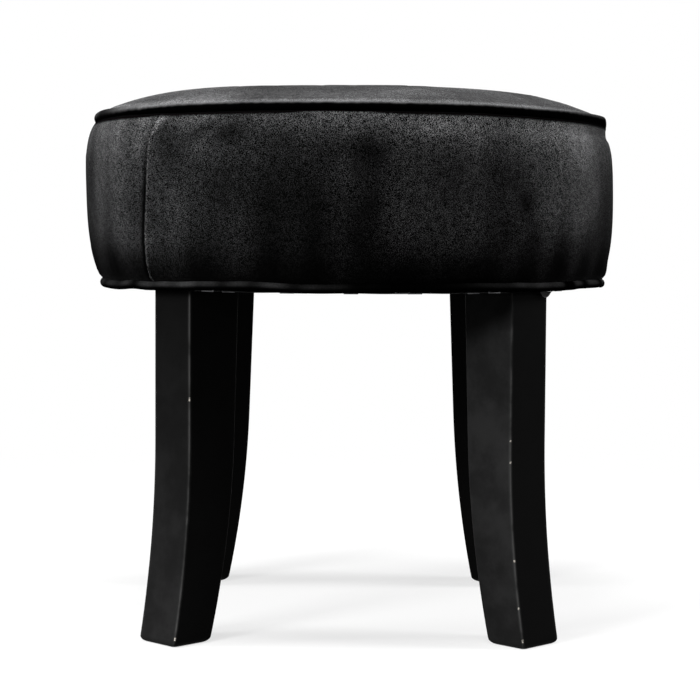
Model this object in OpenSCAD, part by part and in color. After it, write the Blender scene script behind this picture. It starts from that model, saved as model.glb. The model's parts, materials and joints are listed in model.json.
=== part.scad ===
// Round upholstered dressing stool: a velvet box cushion built on a plywood drum, on four curved wooden legs.
// Millimetres. The floor is z = 0, the stool's centre line is the z axis, and the front faces -Y.

/* [Legs] */
// Height of each leg, from the floor to the seat's underside
leg_h = 250; // [190:1:320]
// Width of a leg across its outer face
leg_w = 38; // [30:0.5:44]
// Depth of a leg at its top, from outer face to inner face
leg_top_depth = 46; // [44:0.5:52]
// Depth of a leg where its curve begins
leg_knee_depth = 41.5; // [38:0.5:44]
// Depth of a leg at the floor
leg_foot_depth = 33.5; // [26:0.5:36]
// How far the foot kicks out past the straight upper part
leg_kick = 14.5; // [8:0.5:20]
// Height above the floor at which the leg begins to curve
knee_h = 145; // [100:1:160]
// Distance from the bottom piping's centre line in to the legs' outer faces
leg_setback = 9; // [7:0.5:20]
// Bevel round the bottom edge of each foot
foot_bevel = 3.5; // [1:0.5:6]

/* [Seat outline] */
// Diameter of the seat at its fullest
seat_d = 400; // [360:1:460]
// Height of the side band, between the centre lines of the two pipings
band_h = 123.5; // [112:0.5:140]
// Height of the crown above the top piping's centre line
crown_rise = 24; // [16:0.5:34]
// How far the top piping's centre line sits inside the fullest radius
top_inset = 9.8; // [8:0.1:14]
// How far the bottom piping's centre line sits inside the fullest radius
bottom_inset = 13.25; // [11:0.25:18]
// Share of the band's height at which the band is fullest
full_share = 0.66; // [0.5:0.01:0.75]
// How much the band leans in evenly below its fullest height
band_taper = 2; // [0:0.5:4]
// How late the band turns in towards the top piping
top_turn = 3.5; // [2.5:0.25:5]
// How late the band turns in towards the bottom piping
bottom_turn = 4; // [2.5:0.25:5]
// How full the crown stays towards its edge
crown_fullness = 0.8; // [0.3:0.05:0.9]

/* [Covers and padding] */
// Thickness of the velvet
velvet_t = 1; // [0.7:0.05:1.2]
// Diameter of the cord inside the pipings
cord_d = 4.5; // [3.5:0.1:6]
// Depth of the seam allowance tucked in below the top piping
seam_depth = 8; // [5:0.5:12]
// Width of the velvet turned under the base board
hem_w = 20; // [14:0.5:21]
// Width of the bottom piping's own flange, under the base board
flange_w = 18; // [12:0.5:20]
// Angle round the seat of the band's upright seam
seam_angle = 224.5; // [180:0.5:270]
// Width of the band's upright seam
seam_w = 1.2; // [0.8:0.1:2]
// Depth of the band's upright seam
seam_groove = 0.5; // [0.2:0.05:0.6]
// Thickness of the wadding over the top foam
wadding_t = 4; // [2:0.5:8]
// Thickness of the dust cover's cloth
dust_t = 0.5; // [0.3:0.05:0.8]
// Distance from the base board's edge in to the dust cover's edge
dust_inset = 7; // [5:0.5:10]

/* [Drum frame] */
// Thickness of the base board
base_t = 15; // [12:0.5:18]
// Thickness of the seat board
deck_t = 12; // [9:0.5:15]
// Height of the posts between the two boards
post_h = 58; // [56:0.5:64]
// Width of a post, along the rim
post_w = 70; // [64:1:90]
// Depth of a post, towards the centre
post_depth = 36; // [28:1:45]
// Distance from the boards' edge in to the posts
post_inset = 8; // [7:0.5:14]
// Thickness of the wall bent round the boards
wall_t = 3; // [2.4:0.1:3.4]
// Height of the wall's lower edge above the base board's underside
wall_lift = 5; // [4.5:0.1:6]
// Gap where the wall's two ends meet, at the back
wall_joint = 1.5; // [0.5:0.1:3]

/* [Leg fasteners] */
// Diameter of the leg bolts
bolt_d = 8; // [6:1:10]
// Length of a leg bolt's wood thread, inside the leg
bolt_wood_l = 34; // [25:1:45]
// How far a leg bolt stands out above its tee nut
bolt_over = 2; // [0:0.5:8]
// Pitch of the leg bolts' wood thread
wood_pitch = 3; // [2:0.25:4]
// Pitch of the leg bolts' metal thread
metal_pitch = 1.25; // [1:0.25:1.75]
// Diameter of a tee nut's flange
nut_flange_d = 22; // [19:0.5:26]
// Thickness of a tee nut's flange, barrel and prongs
nut_wall = 1.4; // [1:0.1:1.6]
// Length of a tee nut's barrel
nut_barrel_l = 11; // [8:0.5:11.5]
// Length of a tee nut's prongs
prong_l = 7; // [4:0.5:8]

/* [Screws and staples] */
// Diameter of the frame screws
screw_d = 4; // [3.5:0.1:5]
// Length of the frame screws
screw_l = 38; // [32:1:40]
// Distance of the seat board's screws from a post's middle
deck_screw_side = 24; // [20:1:26]
// Distance of the base board's screws from a post's middle
base_screw_side = 12; // [8:1:14]
// Crown length of the staples
staple_w = 10; // [8:0.5:12]
// Leg length of the staples
staple_l = 8; // [6:0.5:10]
// Thickness of the staples' wire
staple_wire = 0.7; // [0.5:0.05:0.9]
// Staples through the wall, round each board
wall_staple_n = 12; // [8:1:20]
// Staples through the hem, between two legs
hem_staple_n = 4; // [2:1:5]
// Staples through the dust cover, between two legs
dust_staple_n = 5; // [3:1:6]

/* [Hidden] */
$fn = 128;

// Clearance between fasteners and their holes
fit = 0.05;
// Gap left between layers of cloth, foam and board that lie on each other
ply_gap = 0.05;
// Room between a soft layer and the hard part that it wraps
wrap_gap = 0.5;
// Overrun of a cut past the face that it opens
over = 1;
// Number of steps in a drawn curve
curve_n = 24;

velvet_color = "#17171a";
lacquer_color = "#141414";
ply_color = "#c9a877";
pine_color = "#d9bd8c";
board_color = "#8a6b48";
foam_color = "#e8e2c9";
wadding_color = "#f4f4f1";
cord_color = "#e6e1d6";
cloth_color = "#1c1c1e";
steel_color = "#9a9da1";
zinc_color = "#c8c9c4";
plated_color = "#c9b56a";

// Heights of the main levels: under the base board lie the dust cover, the piping's flange and the hem
base_z = leg_h + dust_t + 3 * velvet_t;
bottom_rim_z = base_z - velvet_t;
top_rim_z = bottom_rim_z + band_h;
apex_z = top_rim_z + crown_rise;
post_z = base_z + base_t;
deck_under_z = post_z + post_h;
deck_z = deck_under_z + deck_t;
wall_z = base_z + wall_lift;

// Radii of the main rings
seat_r = seat_d / 2;
piping_r = cord_d / 2 + velvet_t;
top_rim_r = seat_r - top_inset;
bottom_rim_r = seat_r - bottom_inset;
board_r = bottom_rim_r - piping_r - velvet_t - wrap_gap;
wall_in_r = board_r + ply_gap;
wall_out_r = wall_in_r + wall_t;
dust_r = board_r - dust_inset;
hem_r = board_r - hem_w;
flange_in_r = board_r - flange_w;

// The seam under the top piping: the panel, the piping's flange and the band hang side by side as tabs
panel_edge_r = top_rim_r - piping_r - ply_gap;
flange_r = panel_edge_r + ply_gap;
band_tab_r = flange_r + 2 * velvet_t + ply_gap;
tuck_z = top_rim_z - piping_r - ply_gap;
tab_z = tuck_z - seam_depth;
crown_z = top_rim_z + piping_r + velvet_t / 4;
pad_r = min(wall_out_r, panel_edge_r - velvet_t - wrap_gap);

// Heights at which the band's outline is drawn, from above the bottom piping to below the top one
band_low_z = bottom_rim_z + piping_r + 3 * velvet_t;
band_high_z = tuck_z - velvet_t / 3;
band_zs = [for (i = [0 : curve_n]) band_low_z + (band_high_z - band_low_z) * i / curve_n];

// Legs: each profile is drawn with its outer face to the right of its inner face
leg_angles = [225, 315, 135, 45];
leg_r = bottom_rim_r - leg_setback;
bolt_r = leg_r - leg_top_depth / 2;
head_out = [leg_r, leg_h];
head_in = [leg_r - leg_top_depth, leg_h];
knee_out = [leg_r, knee_h];
knee_in = [leg_r - leg_knee_depth, knee_h];
foot_out = [leg_r + leg_kick, 0];
foot_in = [leg_r + leg_kick - leg_foot_depth, 0];

// Bolts and tee nuts
bolt_hole_d = bolt_d + 2 * fit;
wood_thread_depth = 1;
metal_thread_depth = 0.6;
bolt_metal_l = post_z + nut_wall - leg_h + bolt_over;
barrel_r = bolt_hole_d / 2 + nut_wall;
prong_angles = [0, 90, 180, 270];

// Screws: the heads are twice as wide as the shanks, with a 90 degree countersink
post_angles = [270, 90, 180, 0];
screws_r = board_r - post_inset - post_depth / 2;
screw_head_d = 2 * screw_d;
screw_head_l = (screw_head_d - screw_d) / 2;
screw_hole_d = screw_d + 2 * fit;
screw_thread_depth = 0.5;

// Staples: their places round the drum
wall_staple_zs = [(wall_z + post_z) / 2, deck_under_z + deck_t / 2];
wall_staple_angles = [for (i = [0 : wall_staple_n - 1]) 360 * (i + 0.5) / wall_staple_n];
hem_staple_angles = [for (a = leg_angles) each [for (i = [0 : hem_staple_n - 1]) a + 90 * (i + 0.5) / hem_staple_n]];
dust_staple_angles = [for (a = leg_angles) each [for (i = [1 : dust_staple_n]) a + 90 * i / (dust_staple_n + 1)]];
hem_staple_r = (board_r + dust_r) / 2;
dust_staple_r = (flange_in_r + dust_r) / 2;

// Height of the crown's outer surface at radius r, lowered by drop
function dome(r, drop) =
    let (u2 = pow(r / panel_edge_r, 2))
    crown_z + (apex_z - crown_z) * (1 - u2) * (1 + crown_fullness * u2) - drop;

// Radii of the crown's drawing steps, from the centre out to r
function steps_to(r) = [for (i = [0 : curve_n]) r * i / curve_n];

function reversed(list) = [for (i = [len(list) - 1 : -1 : 0]) list[i]];

// Radius of the band's outer surface at height z
function band_out(z) =
    let (share = (z - bottom_rim_z) / band_h,
         above = max(0, (share - full_share) / (1 - full_share)),
         below = max(0, (full_share - share) / full_share),
         top_draw = top_inset - piping_r / 4,
         bottom_draw = bottom_inset - piping_r / 3 - band_taper)
    seat_r - top_draw * pow(above, top_turn) - band_taper * below - bottom_draw * pow(below, bottom_turn);

// Points of the line that lies on the bottom piping at distance off, between two angles in steps of 15 degrees
function on_piping(off, from, to) =
    let (r = (piping_r + off) / cos(7.5), n = abs(to - from) / 15)
    [for (i = [0 : n])
        let (a = from + (to - from) * i / n)
        [bottom_rim_r + r * cos(a), bottom_rim_z + r * sin(a)]];

// Unit vector at right angles to the line from a to b, on its right
function right_of(a, b) = let (d = b - a) [d.y, -d.x] / norm(d);

// Radius of the circle that passes through p with its centre in direction n, and through q
function arc_radius(p, n, q) = let (d = q - p) (d * d) / (2 * d * n);

module around(angles) {
    for (a = angles)
        rotate([0, 0, a]) children();
}

module at_bolts(z) {
    around(leg_angles) translate([bolt_r, 0, z]) children();
}

module at_deck_screws() {
    around(post_angles)
        for (side = [-1, 1])
            translate([screws_r, side * deck_screw_side, deck_z]) children();
}

module at_base_screws() {
    around(post_angles)
        for (side = [-1, 1])
            translate([screws_r, side * base_screw_side, base_z]) rotate([180, 0, 0]) children();
}

module at_wall_staples(z) {
    around(wall_staple_angles) translate([wall_out_r + staple_wire, 0, z]) children();
}

module at_hem_staples() {
    around(hem_staple_angles)
        translate([hem_staple_r, 0, leg_h + dust_t - staple_wire]) rotate([0, 90, 0]) children();
}

module at_dust_staples() {
    around(dust_staple_angles)
        translate([dust_staple_r, 0, leg_h - staple_wire]) rotate([0, 90, 0]) children();
}

// A leg's side profile: below the knee both faces are true arcs
module leg_profile() {
    out_n = [1, 0];
    in_n = right_of(knee_in, head_in);
    out_arc = arc_radius(knee_out, out_n, foot_out);
    in_arc = arc_radius(knee_in, in_n, foot_in);
    difference() {
        union() {
            polygon([knee_in, knee_out, head_out, head_in]);
            intersection() {
                translate([foot_in.x - leg_knee_depth, 0]) square([2 * leg_top_depth, knee_h]);
                translate(knee_in + in_arc * in_n) circle(in_arc, $fn = 720);
            }
        }
        translate(knee_out + out_arc * out_n) circle(out_arc, $fn = 720);
        translate(foot_out) foot_corner();
        translate(foot_in) mirror([1, 0]) foot_corner();
    }
}

// The corner that the bevel cuts off the right side of a foot
module foot_corner() {
    polygon([
        [-foot_bevel - over, -over], [foot_bevel, 2 * foot_bevel],
        [3 * foot_bevel, 2 * foot_bevel], [3 * foot_bevel, -over]
    ]);
}

// A leg's front outline: straight sides, bevelled at the floor
module leg_outline() {
    half = leg_w / 2;
    polygon([
        [foot_bevel - half, 0], [half - foot_bevel, 0], [half, foot_bevel],
        [half, leg_h], [-half, leg_h], [-half, foot_bevel]
    ]);
}

module leg(i) {
    color(lacquer_color)
    rotate([0, 0, leg_angles[i]])
    difference() {
        intersection() {
            rotate([90, 0, 0])
                linear_extrude(leg_w + 2 * over, center = true) leg_profile();
            translate([foot_in.x - leg_top_depth, 0, 0])
                rotate([90, 0, 90])
                    linear_extrude(3 * leg_top_depth) leg_outline();
        }
        translate([bolt_r, 0, leg_h - bolt_wood_l - over])
            cylinder(d = bolt_hole_d, h = bolt_wood_l + 2 * over);
    }
}

// A thread as a row of sharp ridges, from z = 0 up to z = length
module ridges(d, pitch, depth, length) {
    core = d / 2 - depth;
    rotate_extrude($fn = 48)
    polygon(concat(
        [[0, 0], [core, 0]],
        [for (i = [0 : floor(length / pitch) - 1]) each [
            [core, (i + 0.1) * pitch],
            [d / 2, (i + 0.5) * pitch],
            [core, (i + 0.9) * pitch]
        ]],
        [[core, length], [0, length]]
    ));
}

module leg_bolts() {
    tip_l = bolt_d / 2;
    color(zinc_color)
    at_bolts(leg_h) {
        translate([0, 0, -bolt_wood_l])
            cylinder(r1 = wood_thread_depth / 2, r2 = bolt_d / 2 - wood_thread_depth, h = tip_l);
        translate([0, 0, tip_l - bolt_wood_l])
            ridges(bolt_d, wood_pitch, wood_thread_depth, bolt_wood_l - tip_l);
        ridges(bolt_d, metal_pitch, metal_thread_depth, bolt_metal_l);
    }
}

// The prongs that bite into the board under a tee nut's flange, grown by gap
module prongs(gap) {
    around(prong_angles)
        translate([nut_flange_d / 2 - nut_wall - gap, -nut_wall - gap, -prong_l - gap])
            cube([nut_wall + 2 * gap, 2 * (nut_wall + gap), prong_l + nut_wall + gap]);
}

module tee_nuts() {
    color(zinc_color)
    at_bolts(post_z)
    difference() {
        union() {
            cylinder(d = nut_flange_d + 2 * fit, h = nut_wall);
            translate([0, 0, -nut_barrel_l]) cylinder(r = barrel_r, h = nut_barrel_l + nut_wall / 2);
            prongs(0);
        }
        translate([0, 0, -nut_barrel_l - over])
            cylinder(d = bolt_hole_d, h = nut_barrel_l + nut_wall + 2 * over);
    }
}

// A countersunk screw: its flat top is at z = 0 and it points down
module wood_screw() {
    tip_l = screw_d;
    core = screw_d / 2 - screw_thread_depth;
    translate([0, 0, -screw_head_l]) cylinder(d1 = screw_d, d2 = screw_head_d, h = screw_head_l);
    translate([0, 0, tip_l - screw_l])
        ridges(screw_d, screw_d / 2, screw_thread_depth, screw_l - tip_l - screw_head_l);
    translate([0, 0, -screw_l]) cylinder(r1 = core / 4, r2 = core, h = tip_l);
}

// The hole for one screw, through everything that it holds
module screw_hole() {
    sink_d = screw_head_d + 2 * fit;
    translate([0, 0, -screw_l - over]) cylinder(d = screw_hole_d, h = screw_l + 2 * over);
    translate([0, 0, -screw_head_l]) cylinder(d1 = screw_hole_d, d2 = sink_d, h = screw_head_l);
    cylinder(d = sink_d, h = over);
}

module seat_board_screws() {
    color(plated_color) at_deck_screws() wood_screw();
}

module base_board_screws() {
    color(plated_color) at_base_screws() wood_screw();
}

module base_board() {
    color(ply_color)
    difference() {
        translate([0, 0, base_z]) cylinder(r = board_r, h = base_t);
        at_bolts(base_z - over) cylinder(r = barrel_r + fit, h = base_t + 2 * over);
        at_bolts(post_z) prongs(fit);
        at_base_screws() screw_hole();
        at_wall_staples(wall_staple_zs[0]) staple_legs(fit);
        at_hem_staples() staple_legs(fit);
        at_dust_staples() staple_legs(fit);
    }
}

module seat_board() {
    color(ply_color)
    difference() {
        translate([0, 0, deck_under_z]) cylinder(r = board_r, h = deck_t);
        at_deck_screws() screw_hole();
        at_wall_staples(wall_staple_zs[1]) staple_legs(fit);
    }
}

module post(i) {
    color(pine_color)
    difference() {
        rotate([0, 0, post_angles[i]])
            translate([board_r - post_inset - post_depth, -post_w / 2, post_z])
                cube([post_depth, post_w, post_h]);
        at_deck_screws() screw_hole();
        at_base_screws() screw_hole();
    }
}

module drum_wall() {
    wall_h = deck_z - wall_z;
    color(board_color)
    difference() {
        translate([0, 0, wall_z]) cylinder(r = wall_out_r, h = wall_h);
        translate([0, 0, wall_z - over]) cylinder(r = wall_in_r, h = wall_h + 2 * over);
        translate([-wall_joint / 2, 0, wall_z - over]) cube([wall_joint, 2 * wall_out_r, wall_h + 2 * over]);
        for (z = wall_staple_zs)
            at_wall_staples(z) staple_legs(fit);
    }
}

// A staple's two legs, grown by gap: they run along -X from the crown's outer side at x = 0
module staple_legs(gap) {
    reach = staple_wire + staple_l + gap;
    thick = staple_wire + 2 * gap;
    for (side = [-1, 1])
        translate([-reach, side * (staple_w - staple_wire) / 2 - thick / 2, -thick / 2])
            cube([reach, thick, thick]);
}

module staple() {
    translate([-staple_wire, -staple_w / 2, -staple_wire / 2])
        cube([staple_wire, staple_w, staple_wire]);
    staple_legs(0);
}

module wall_staples() {
    color(steel_color)
    for (z = wall_staple_zs)
        at_wall_staples(z) staple();
}

module hem_staples() {
    color(steel_color) at_hem_staples() staple();
}

module dust_cover_staples() {
    color(steel_color) at_dust_staples() staple();
}

module dust_cover() {
    color(cloth_color)
    difference() {
        translate([0, 0, leg_h]) cylinder(r = dust_r, h = dust_t);
        at_bolts(leg_h - over) cylinder(r = bolt_hole_d / 2 + wrap_gap, h = dust_t + 2 * over);
        at_dust_staples() staple_legs(fit);
    }
}

// A layer that follows the crown, between two distances below its outer surface
module crown_layer(r, from, to) {
    rotate_extrude()
    polygon(concat(
        [for (x = steps_to(r)) [x, dome(x, to)]],
        [for (x = reversed(steps_to(r))) [x, dome(x, from)]]
    ));
}

module top_foam() {
    color(foam_color)
    rotate_extrude()
    polygon(concat(
        [[0, deck_z], [pad_r, deck_z]],
        [for (r = reversed(steps_to(pad_r))) [r, dome(r, velvet_t + wadding_t + 2 * ply_gap)]]
    ));
}

module top_wadding() {
    color(wadding_color)
    crown_layer(pad_r, velvet_t + ply_gap, velvet_t + wadding_t + ply_gap);
}

// The foam round the wall, notched at its top for the tabs of the seam
module side_foam() {
    skin = velvet_t + 2 * ply_gap;
    in_r = norm([wall_out_r + staple_wire, staple_w / 2]) + ply_gap;
    notch_r = band_tab_r + skin;
    roof_z = tuck_z - skin;
    color(foam_color)
    rotate_extrude()
    polygon(concat(
        [[in_r, wall_z + wrap_gap]],
        [for (i = [1 : curve_n - 1]) [band_out(band_zs[i]) - skin, band_zs[i]]],
        [[band_out(tuck_z) - 2 * skin, roof_z],
         [notch_r, roof_z],
         [notch_r, tab_z - wrap_gap],
         [pad_r + ply_gap, tab_z - wrap_gap],
         [pad_r + ply_gap, deck_z + ply_gap],
         [in_r, deck_z + ply_gap]]
    ));
}

module top_panel() {
    turn_r = panel_edge_r - velvet_t;
    color(velvet_color)
    rotate_extrude()
    polygon(concat(
        [for (r = steps_to(turn_r)) [r, dome(r, 0)]],
        [[panel_edge_r - velvet_t / 4, crown_z - velvet_t / 4],
         [panel_edge_r, crown_z - velvet_t],
         [panel_edge_r, tab_z],
         [turn_r, tab_z]],
        [for (r = reversed(steps_to(turn_r))) [r, dome(r, velvet_t)]]
    ));
}

// The band's section: tab and tuck under the top piping, bulging side, turn over the bottom piping, hem
module band_section() {
    tab_in_r = band_tab_r + velvet_t;
    polygon(concat(
        [[band_tab_r, tab_z], [band_tab_r, tuck_z], [band_out(tuck_z) - velvet_t, tuck_z]],
        [for (z = reversed(band_zs)) [band_out(z), z]],
        on_piping(ply_gap, 75, 180),
        [[hem_r, bottom_rim_z], [hem_r, base_z], [board_r + wrap_gap / 2, base_z]],
        on_piping(ply_gap + velvet_t, 165, 75),
        [for (i = [0 : curve_n - 1]) [band_out(band_zs[i]) - velvet_t, band_zs[i]]],
        [[band_out(tuck_z) - 1.5 * velvet_t, tuck_z - velvet_t],
         [tab_in_r, tuck_z - velvet_t],
         [tab_in_r, tab_z]]
    ));
}

module side_band() {
    seam_turn = 360 * seam_w / (PI * seat_d);
    color(velvet_color)
    difference() {
        rotate_extrude() band_section();
        rotate([0, 0, seam_angle - seam_turn / 2])
            rotate_extrude(angle = seam_turn)
            polygon(concat(
                [for (i = [1 : curve_n - 1]) [band_out(band_zs[i]) - seam_groove, band_zs[i]]],
                [[seat_r + over, band_zs[curve_n - 1]], [seat_r + over, band_zs[1]]]
            ));
        at_hem_staples() staple_legs(fit);
        at_dust_staples() staple_legs(fit);
    }
}

// The cord of a piping, on a ring of radius r at height z
module cord(r, z) {
    color(cord_color)
    rotate_extrude() translate([r, z]) circle(d = cord_d);
}

// The section of a piping's velvet sleeve, joined to the flange that is given as its child
module sleeve_section(r, z) {
    difference() {
        union() {
            translate([r, z]) circle(piping_r);
            children();
        }
        translate([r, z]) circle(d = cord_d + 2 * ply_gap);
    }
}

module top_piping_sleeve() {
    color(velvet_color)
    rotate_extrude()
    sleeve_section(top_rim_r, top_rim_z)
        translate([flange_r, tab_z])
            square([2 * velvet_t, top_rim_z - tab_z - piping_r / 2]);
}

module bottom_piping_sleeve() {
    color(velvet_color)
    difference() {
        rotate_extrude()
        sleeve_section(bottom_rim_r, bottom_rim_z)
            translate([flange_in_r, bottom_rim_z - 2 * velvet_t])
                square([bottom_rim_r - cord_d / 2 - flange_in_r, 2 * velvet_t]);
        at_hem_staples() staple_legs(fit);
        at_dust_staples() staple_legs(fit);
    }
}

leg(0);  // front_left_leg
leg(1);  // front_right_leg
leg(2);  // back_left_leg
leg(3);  // back_right_leg
leg_bolts();
tee_nuts();
base_board();
seat_board();
post(0);  // front_post
post(1);  // back_post
post(2);  // left_post
post(3);  // right_post
base_board_screws();
seat_board_screws();
drum_wall();
wall_staples();
top_foam();
side_foam();
top_wadding();
top_panel();
side_band();
top_piping_sleeve();
cord(top_rim_r, top_rim_z);  // top_piping_cord
bottom_piping_sleeve();
cord(bottom_rim_r, bottom_rim_z);  // bottom_piping_cord
hem_staples();
dust_cover();
dust_cover_staples();
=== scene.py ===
"""Looks of a round velvet dressing stool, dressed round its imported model.

Lengths are in metres in the stool's own frame: the floor is z = 0, the seat's middle is the z axis and
the front faces -Y. Angles round the seat start at +X and grow anticlockwise, seen from above.
"""

import json
import logging
import math
from dataclasses import dataclass, field
from enum import Enum

import bpy
import numpy as np
from mathutils import Matrix, Vector


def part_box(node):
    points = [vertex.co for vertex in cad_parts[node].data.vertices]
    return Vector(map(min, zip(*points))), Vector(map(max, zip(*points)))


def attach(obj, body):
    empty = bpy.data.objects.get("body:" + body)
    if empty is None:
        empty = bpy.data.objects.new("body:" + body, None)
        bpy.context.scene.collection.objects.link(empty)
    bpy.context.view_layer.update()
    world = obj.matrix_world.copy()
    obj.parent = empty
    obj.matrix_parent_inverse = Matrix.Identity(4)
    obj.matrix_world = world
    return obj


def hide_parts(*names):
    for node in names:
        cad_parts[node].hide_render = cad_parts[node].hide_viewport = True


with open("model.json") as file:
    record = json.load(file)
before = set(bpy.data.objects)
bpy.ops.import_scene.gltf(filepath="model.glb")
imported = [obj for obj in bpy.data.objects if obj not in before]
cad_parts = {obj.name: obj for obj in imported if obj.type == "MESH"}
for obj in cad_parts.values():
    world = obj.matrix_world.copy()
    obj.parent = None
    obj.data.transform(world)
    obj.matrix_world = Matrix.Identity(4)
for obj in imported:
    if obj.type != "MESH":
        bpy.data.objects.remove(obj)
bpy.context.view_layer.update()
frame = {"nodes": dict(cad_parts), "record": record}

LOG = logging.getLogger("stool")
BODY = "root"
MM = 0.001
PHOTO_SIZE = 700

Array = np.ndarray
Loop = tuple[Array, Array]
Faces = list[tuple[int, ...]]
Color = tuple[float, float, float]
Place = tuple[float, float, float]


class Slot(Enum):
    """The record's material slots."""

    VELVET = "velvet"
    LACQUER = "leg_lacquer"
    PLYWOOD = "plywood"
    PINE = "pine"
    HARDBOARD = "hardboard"
    FOAM = "foam"
    WADDING = "wadding"
    CORD = "piping_cord"
    DUST_CLOTH = "dust_cloth"
    ZINC = "zinc_steel"
    YELLOW = "yellow_steel"
    WIRE = "staple_wire"


class Rim(Enum):
    """The two piped rims of the seat."""

    TOP = "top"
    BOTTOM = "bottom"


# Meshes


def make_object(name: str, points: Array, faces: Faces, sharp_degrees: float) -> bpy.types.Object:
    """Makes a smooth-shaded mesh object.

    Args:
        name: The object's name.
        points: The vertices, one row each.
        faces: The vertex numbers of each face.
        sharp_degrees: Edges that turn more than this stay sharp.

    Returns:
        The new object, linked to the scene.
    """
    mesh = bpy.data.meshes.new(name)
    mesh.from_pydata(points.tolist(), [], faces)
    mesh.update()
    mesh.polygons.foreach_set("use_smooth", [True] * len(mesh.polygons))
    mesh.set_sharp_from_angle(angle=math.radians(sharp_degrees))
    piece = bpy.data.objects.new(name, mesh)
    bpy.context.scene.collection.objects.link(piece)
    return piece


def quads_between(low: int, high: int, count: int) -> Faces:
    """Makes the quads of one closed band of faces.

    Args:
        low: Number of the first vertex of the first ring.
        high: Number of the first vertex of the second ring.
        count: Vertices in each ring.

    Returns:
        One quad for each vertex of a ring.
    """
    faces = []
    for i in range(count):
        j = (i + 1) % count
        faces.append((low + i, low + j, high + j, high + i))
    return faces


def fan(middle: int, ring: int, count: int, turned: bool = False) -> Faces:
    """Makes the triangles that close a ring at its middle.

    Args:
        middle: Number of the middle vertex.
        ring: Number of the ring's first vertex.
        count: Vertices in the ring.
        turned: True if the triangles face the other way.

    Returns:
        One triangle for each vertex of the ring.
    """
    faces = []
    for i in range(count):
        here, there = ring + i, ring + (i + 1) % count
        faces.append((middle, there, here) if turned else (middle, here, there))
    return faces


def lathe(name: str, loops: list[Loop], angles: Array, poles: bool = False,
          marks: dict[str, list[Array]] | None = None, sharp_degrees: float = 50.0) -> bpy.types.Object:
    """Turns closed sections round the z axis; each row of a loop is one point of its section.

    Args:
        name: The object's name.
        loops: Radii and heights of each loop, as rows by columns; loops after the first are hollows.
        angles: The columns' angles.
        poles: True if the section runs from axis to axis, and False if it closes on itself.
        marks: Values at each point of each loop, stored on the mesh under their names.
        sharp_degrees: Edges that turn more than this stay sharp.

    Returns:
        The closed mesh object.
    """
    points: list[Array] = []
    faces: Faces = []
    stored: dict[str, list[Array]] = {key: [] for key in marks or {}}
    start = 0
    for number, (radii, heights) in enumerate(loops):
        r, z = radii.mean(axis=1), heights.mean(axis=1)
        if poles:
            r, z = np.concatenate([[0.0], r, [0.0]]), np.concatenate([[z[0]], z, [z[-1]]])
        turned = (np.dot(r, np.roll(z, -1)) - np.dot(z, np.roll(r, -1)) < 0) != (number > 0)
        order = slice(None, None, -1 if turned else 1)
        radii, heights = radii[order], heights[order]
        rows, columns = radii.shape
        grid = np.stack([radii * np.cos(angles), radii * np.sin(angles), heights], axis=-1)
        points.append(grid.reshape(-1, 3))
        for key, values in (marks or {}).items():
            stored[key].append(values[number][order].ravel())
        for row in range(rows - 1):
            faces += quads_between(start + row * columns, start + (row + 1) * columns, columns)
        top = start + (rows - 1) * columns
        if poles:
            points.append(np.array([[0.0, 0.0, heights[0].mean()], [0.0, 0.0, heights[-1].mean()]]))
            for key in stored:
                stored[key].append(np.array([stored[key][-1][0], stored[key][-1][-1]]))
            first, last = start + rows * columns, start + rows * columns + 1
            faces += fan(first, start, columns, turned=True) + fan(last, top, columns)
        else:
            faces += quads_between(top, start, columns)
        start = sum(len(block) for block in points)
    piece = make_object(name, np.vstack(points), faces, sharp_degrees)
    for key, blocks in stored.items():
        mark(piece, key, np.concatenate(blocks))
    return piece


def mark(piece: bpy.types.Object, name: str, values: Array) -> None:
    """Stores a value at each point of a piece, for its material.

    Args:
        piece: The piece.
        name: The value's name.
        values: One number for each point.
    """
    layer = piece.data.attributes.new(name, "FLOAT", "POINT")
    layer.data.foreach_set("value", np.asarray(values, dtype=np.float32))


def turn_from(angles: Array, middle: float | Array) -> Array:
    """Degrees from a middle angle to each angle, between -180 and 180.

    Args:
        angles: Angles in radians.
        middle: The middle angle in degrees.

    Returns:
        The differences.
    """
    return (np.degrees(angles) - middle + 180) % 360 - 180


def even_angles(count: int) -> Array:
    """Evenly spaced angles round the seat."""
    return np.arange(count) * (2 * math.pi / count)


def smooth_step(x: Array | float) -> Array | float:
    """A soft ramp from 0 at x = 0 to 1 at x = 1."""
    t = np.clip(x, 0.0, 1.0)
    return t * t * (3 - 2 * t)


def rising(x: Array | float, start: float | Array, end: float | Array) -> Array | float:
    """A soft ramp from 0 where x is at its start to 1 where x is at its end."""
    return smooth_step((x - start) / (end - start))


def between(x: Array | float, start: float, full: float, fade: float, end: float) -> Array | float:
    """A soft plateau: 0 up to start, 1 from full to fade, and 0 again from end on."""
    return rising(x, start, full) * (1 - rising(x, fade, end))


def bell(x: Array | float, power: int = 2) -> Array | float:
    """A soft hump, 1 at x = 0 and almost 0 beyond 2; a higher power makes its top flatter."""
    return np.exp(-(x ** power))


def facing(angles: Array, direction: float, power: float) -> Array:
    """A share that is 1 at one side of the seat and falls to 0 at the other, faster with a higher power."""
    return ((1 + np.cos(angles - direction)) / 2) ** power


@dataclass(frozen=True)
class Hump:
    """A soft hump somewhere round the seat.

    Attributes:
        angle: Angle of its middle, in degrees.
        width: Half its width, in degrees.
        size: Its size at the middle.
        power: 2 for a round top, and 4 for a flat one.
    """

    angle: float
    width: float
    size: float = 1.0
    power: int = 2

    def at(self, angles: Array) -> Array:
        """Its size at each angle."""
        return self.size * bell(turn_from(angles, self.angle) / self.width, self.power)


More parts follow.
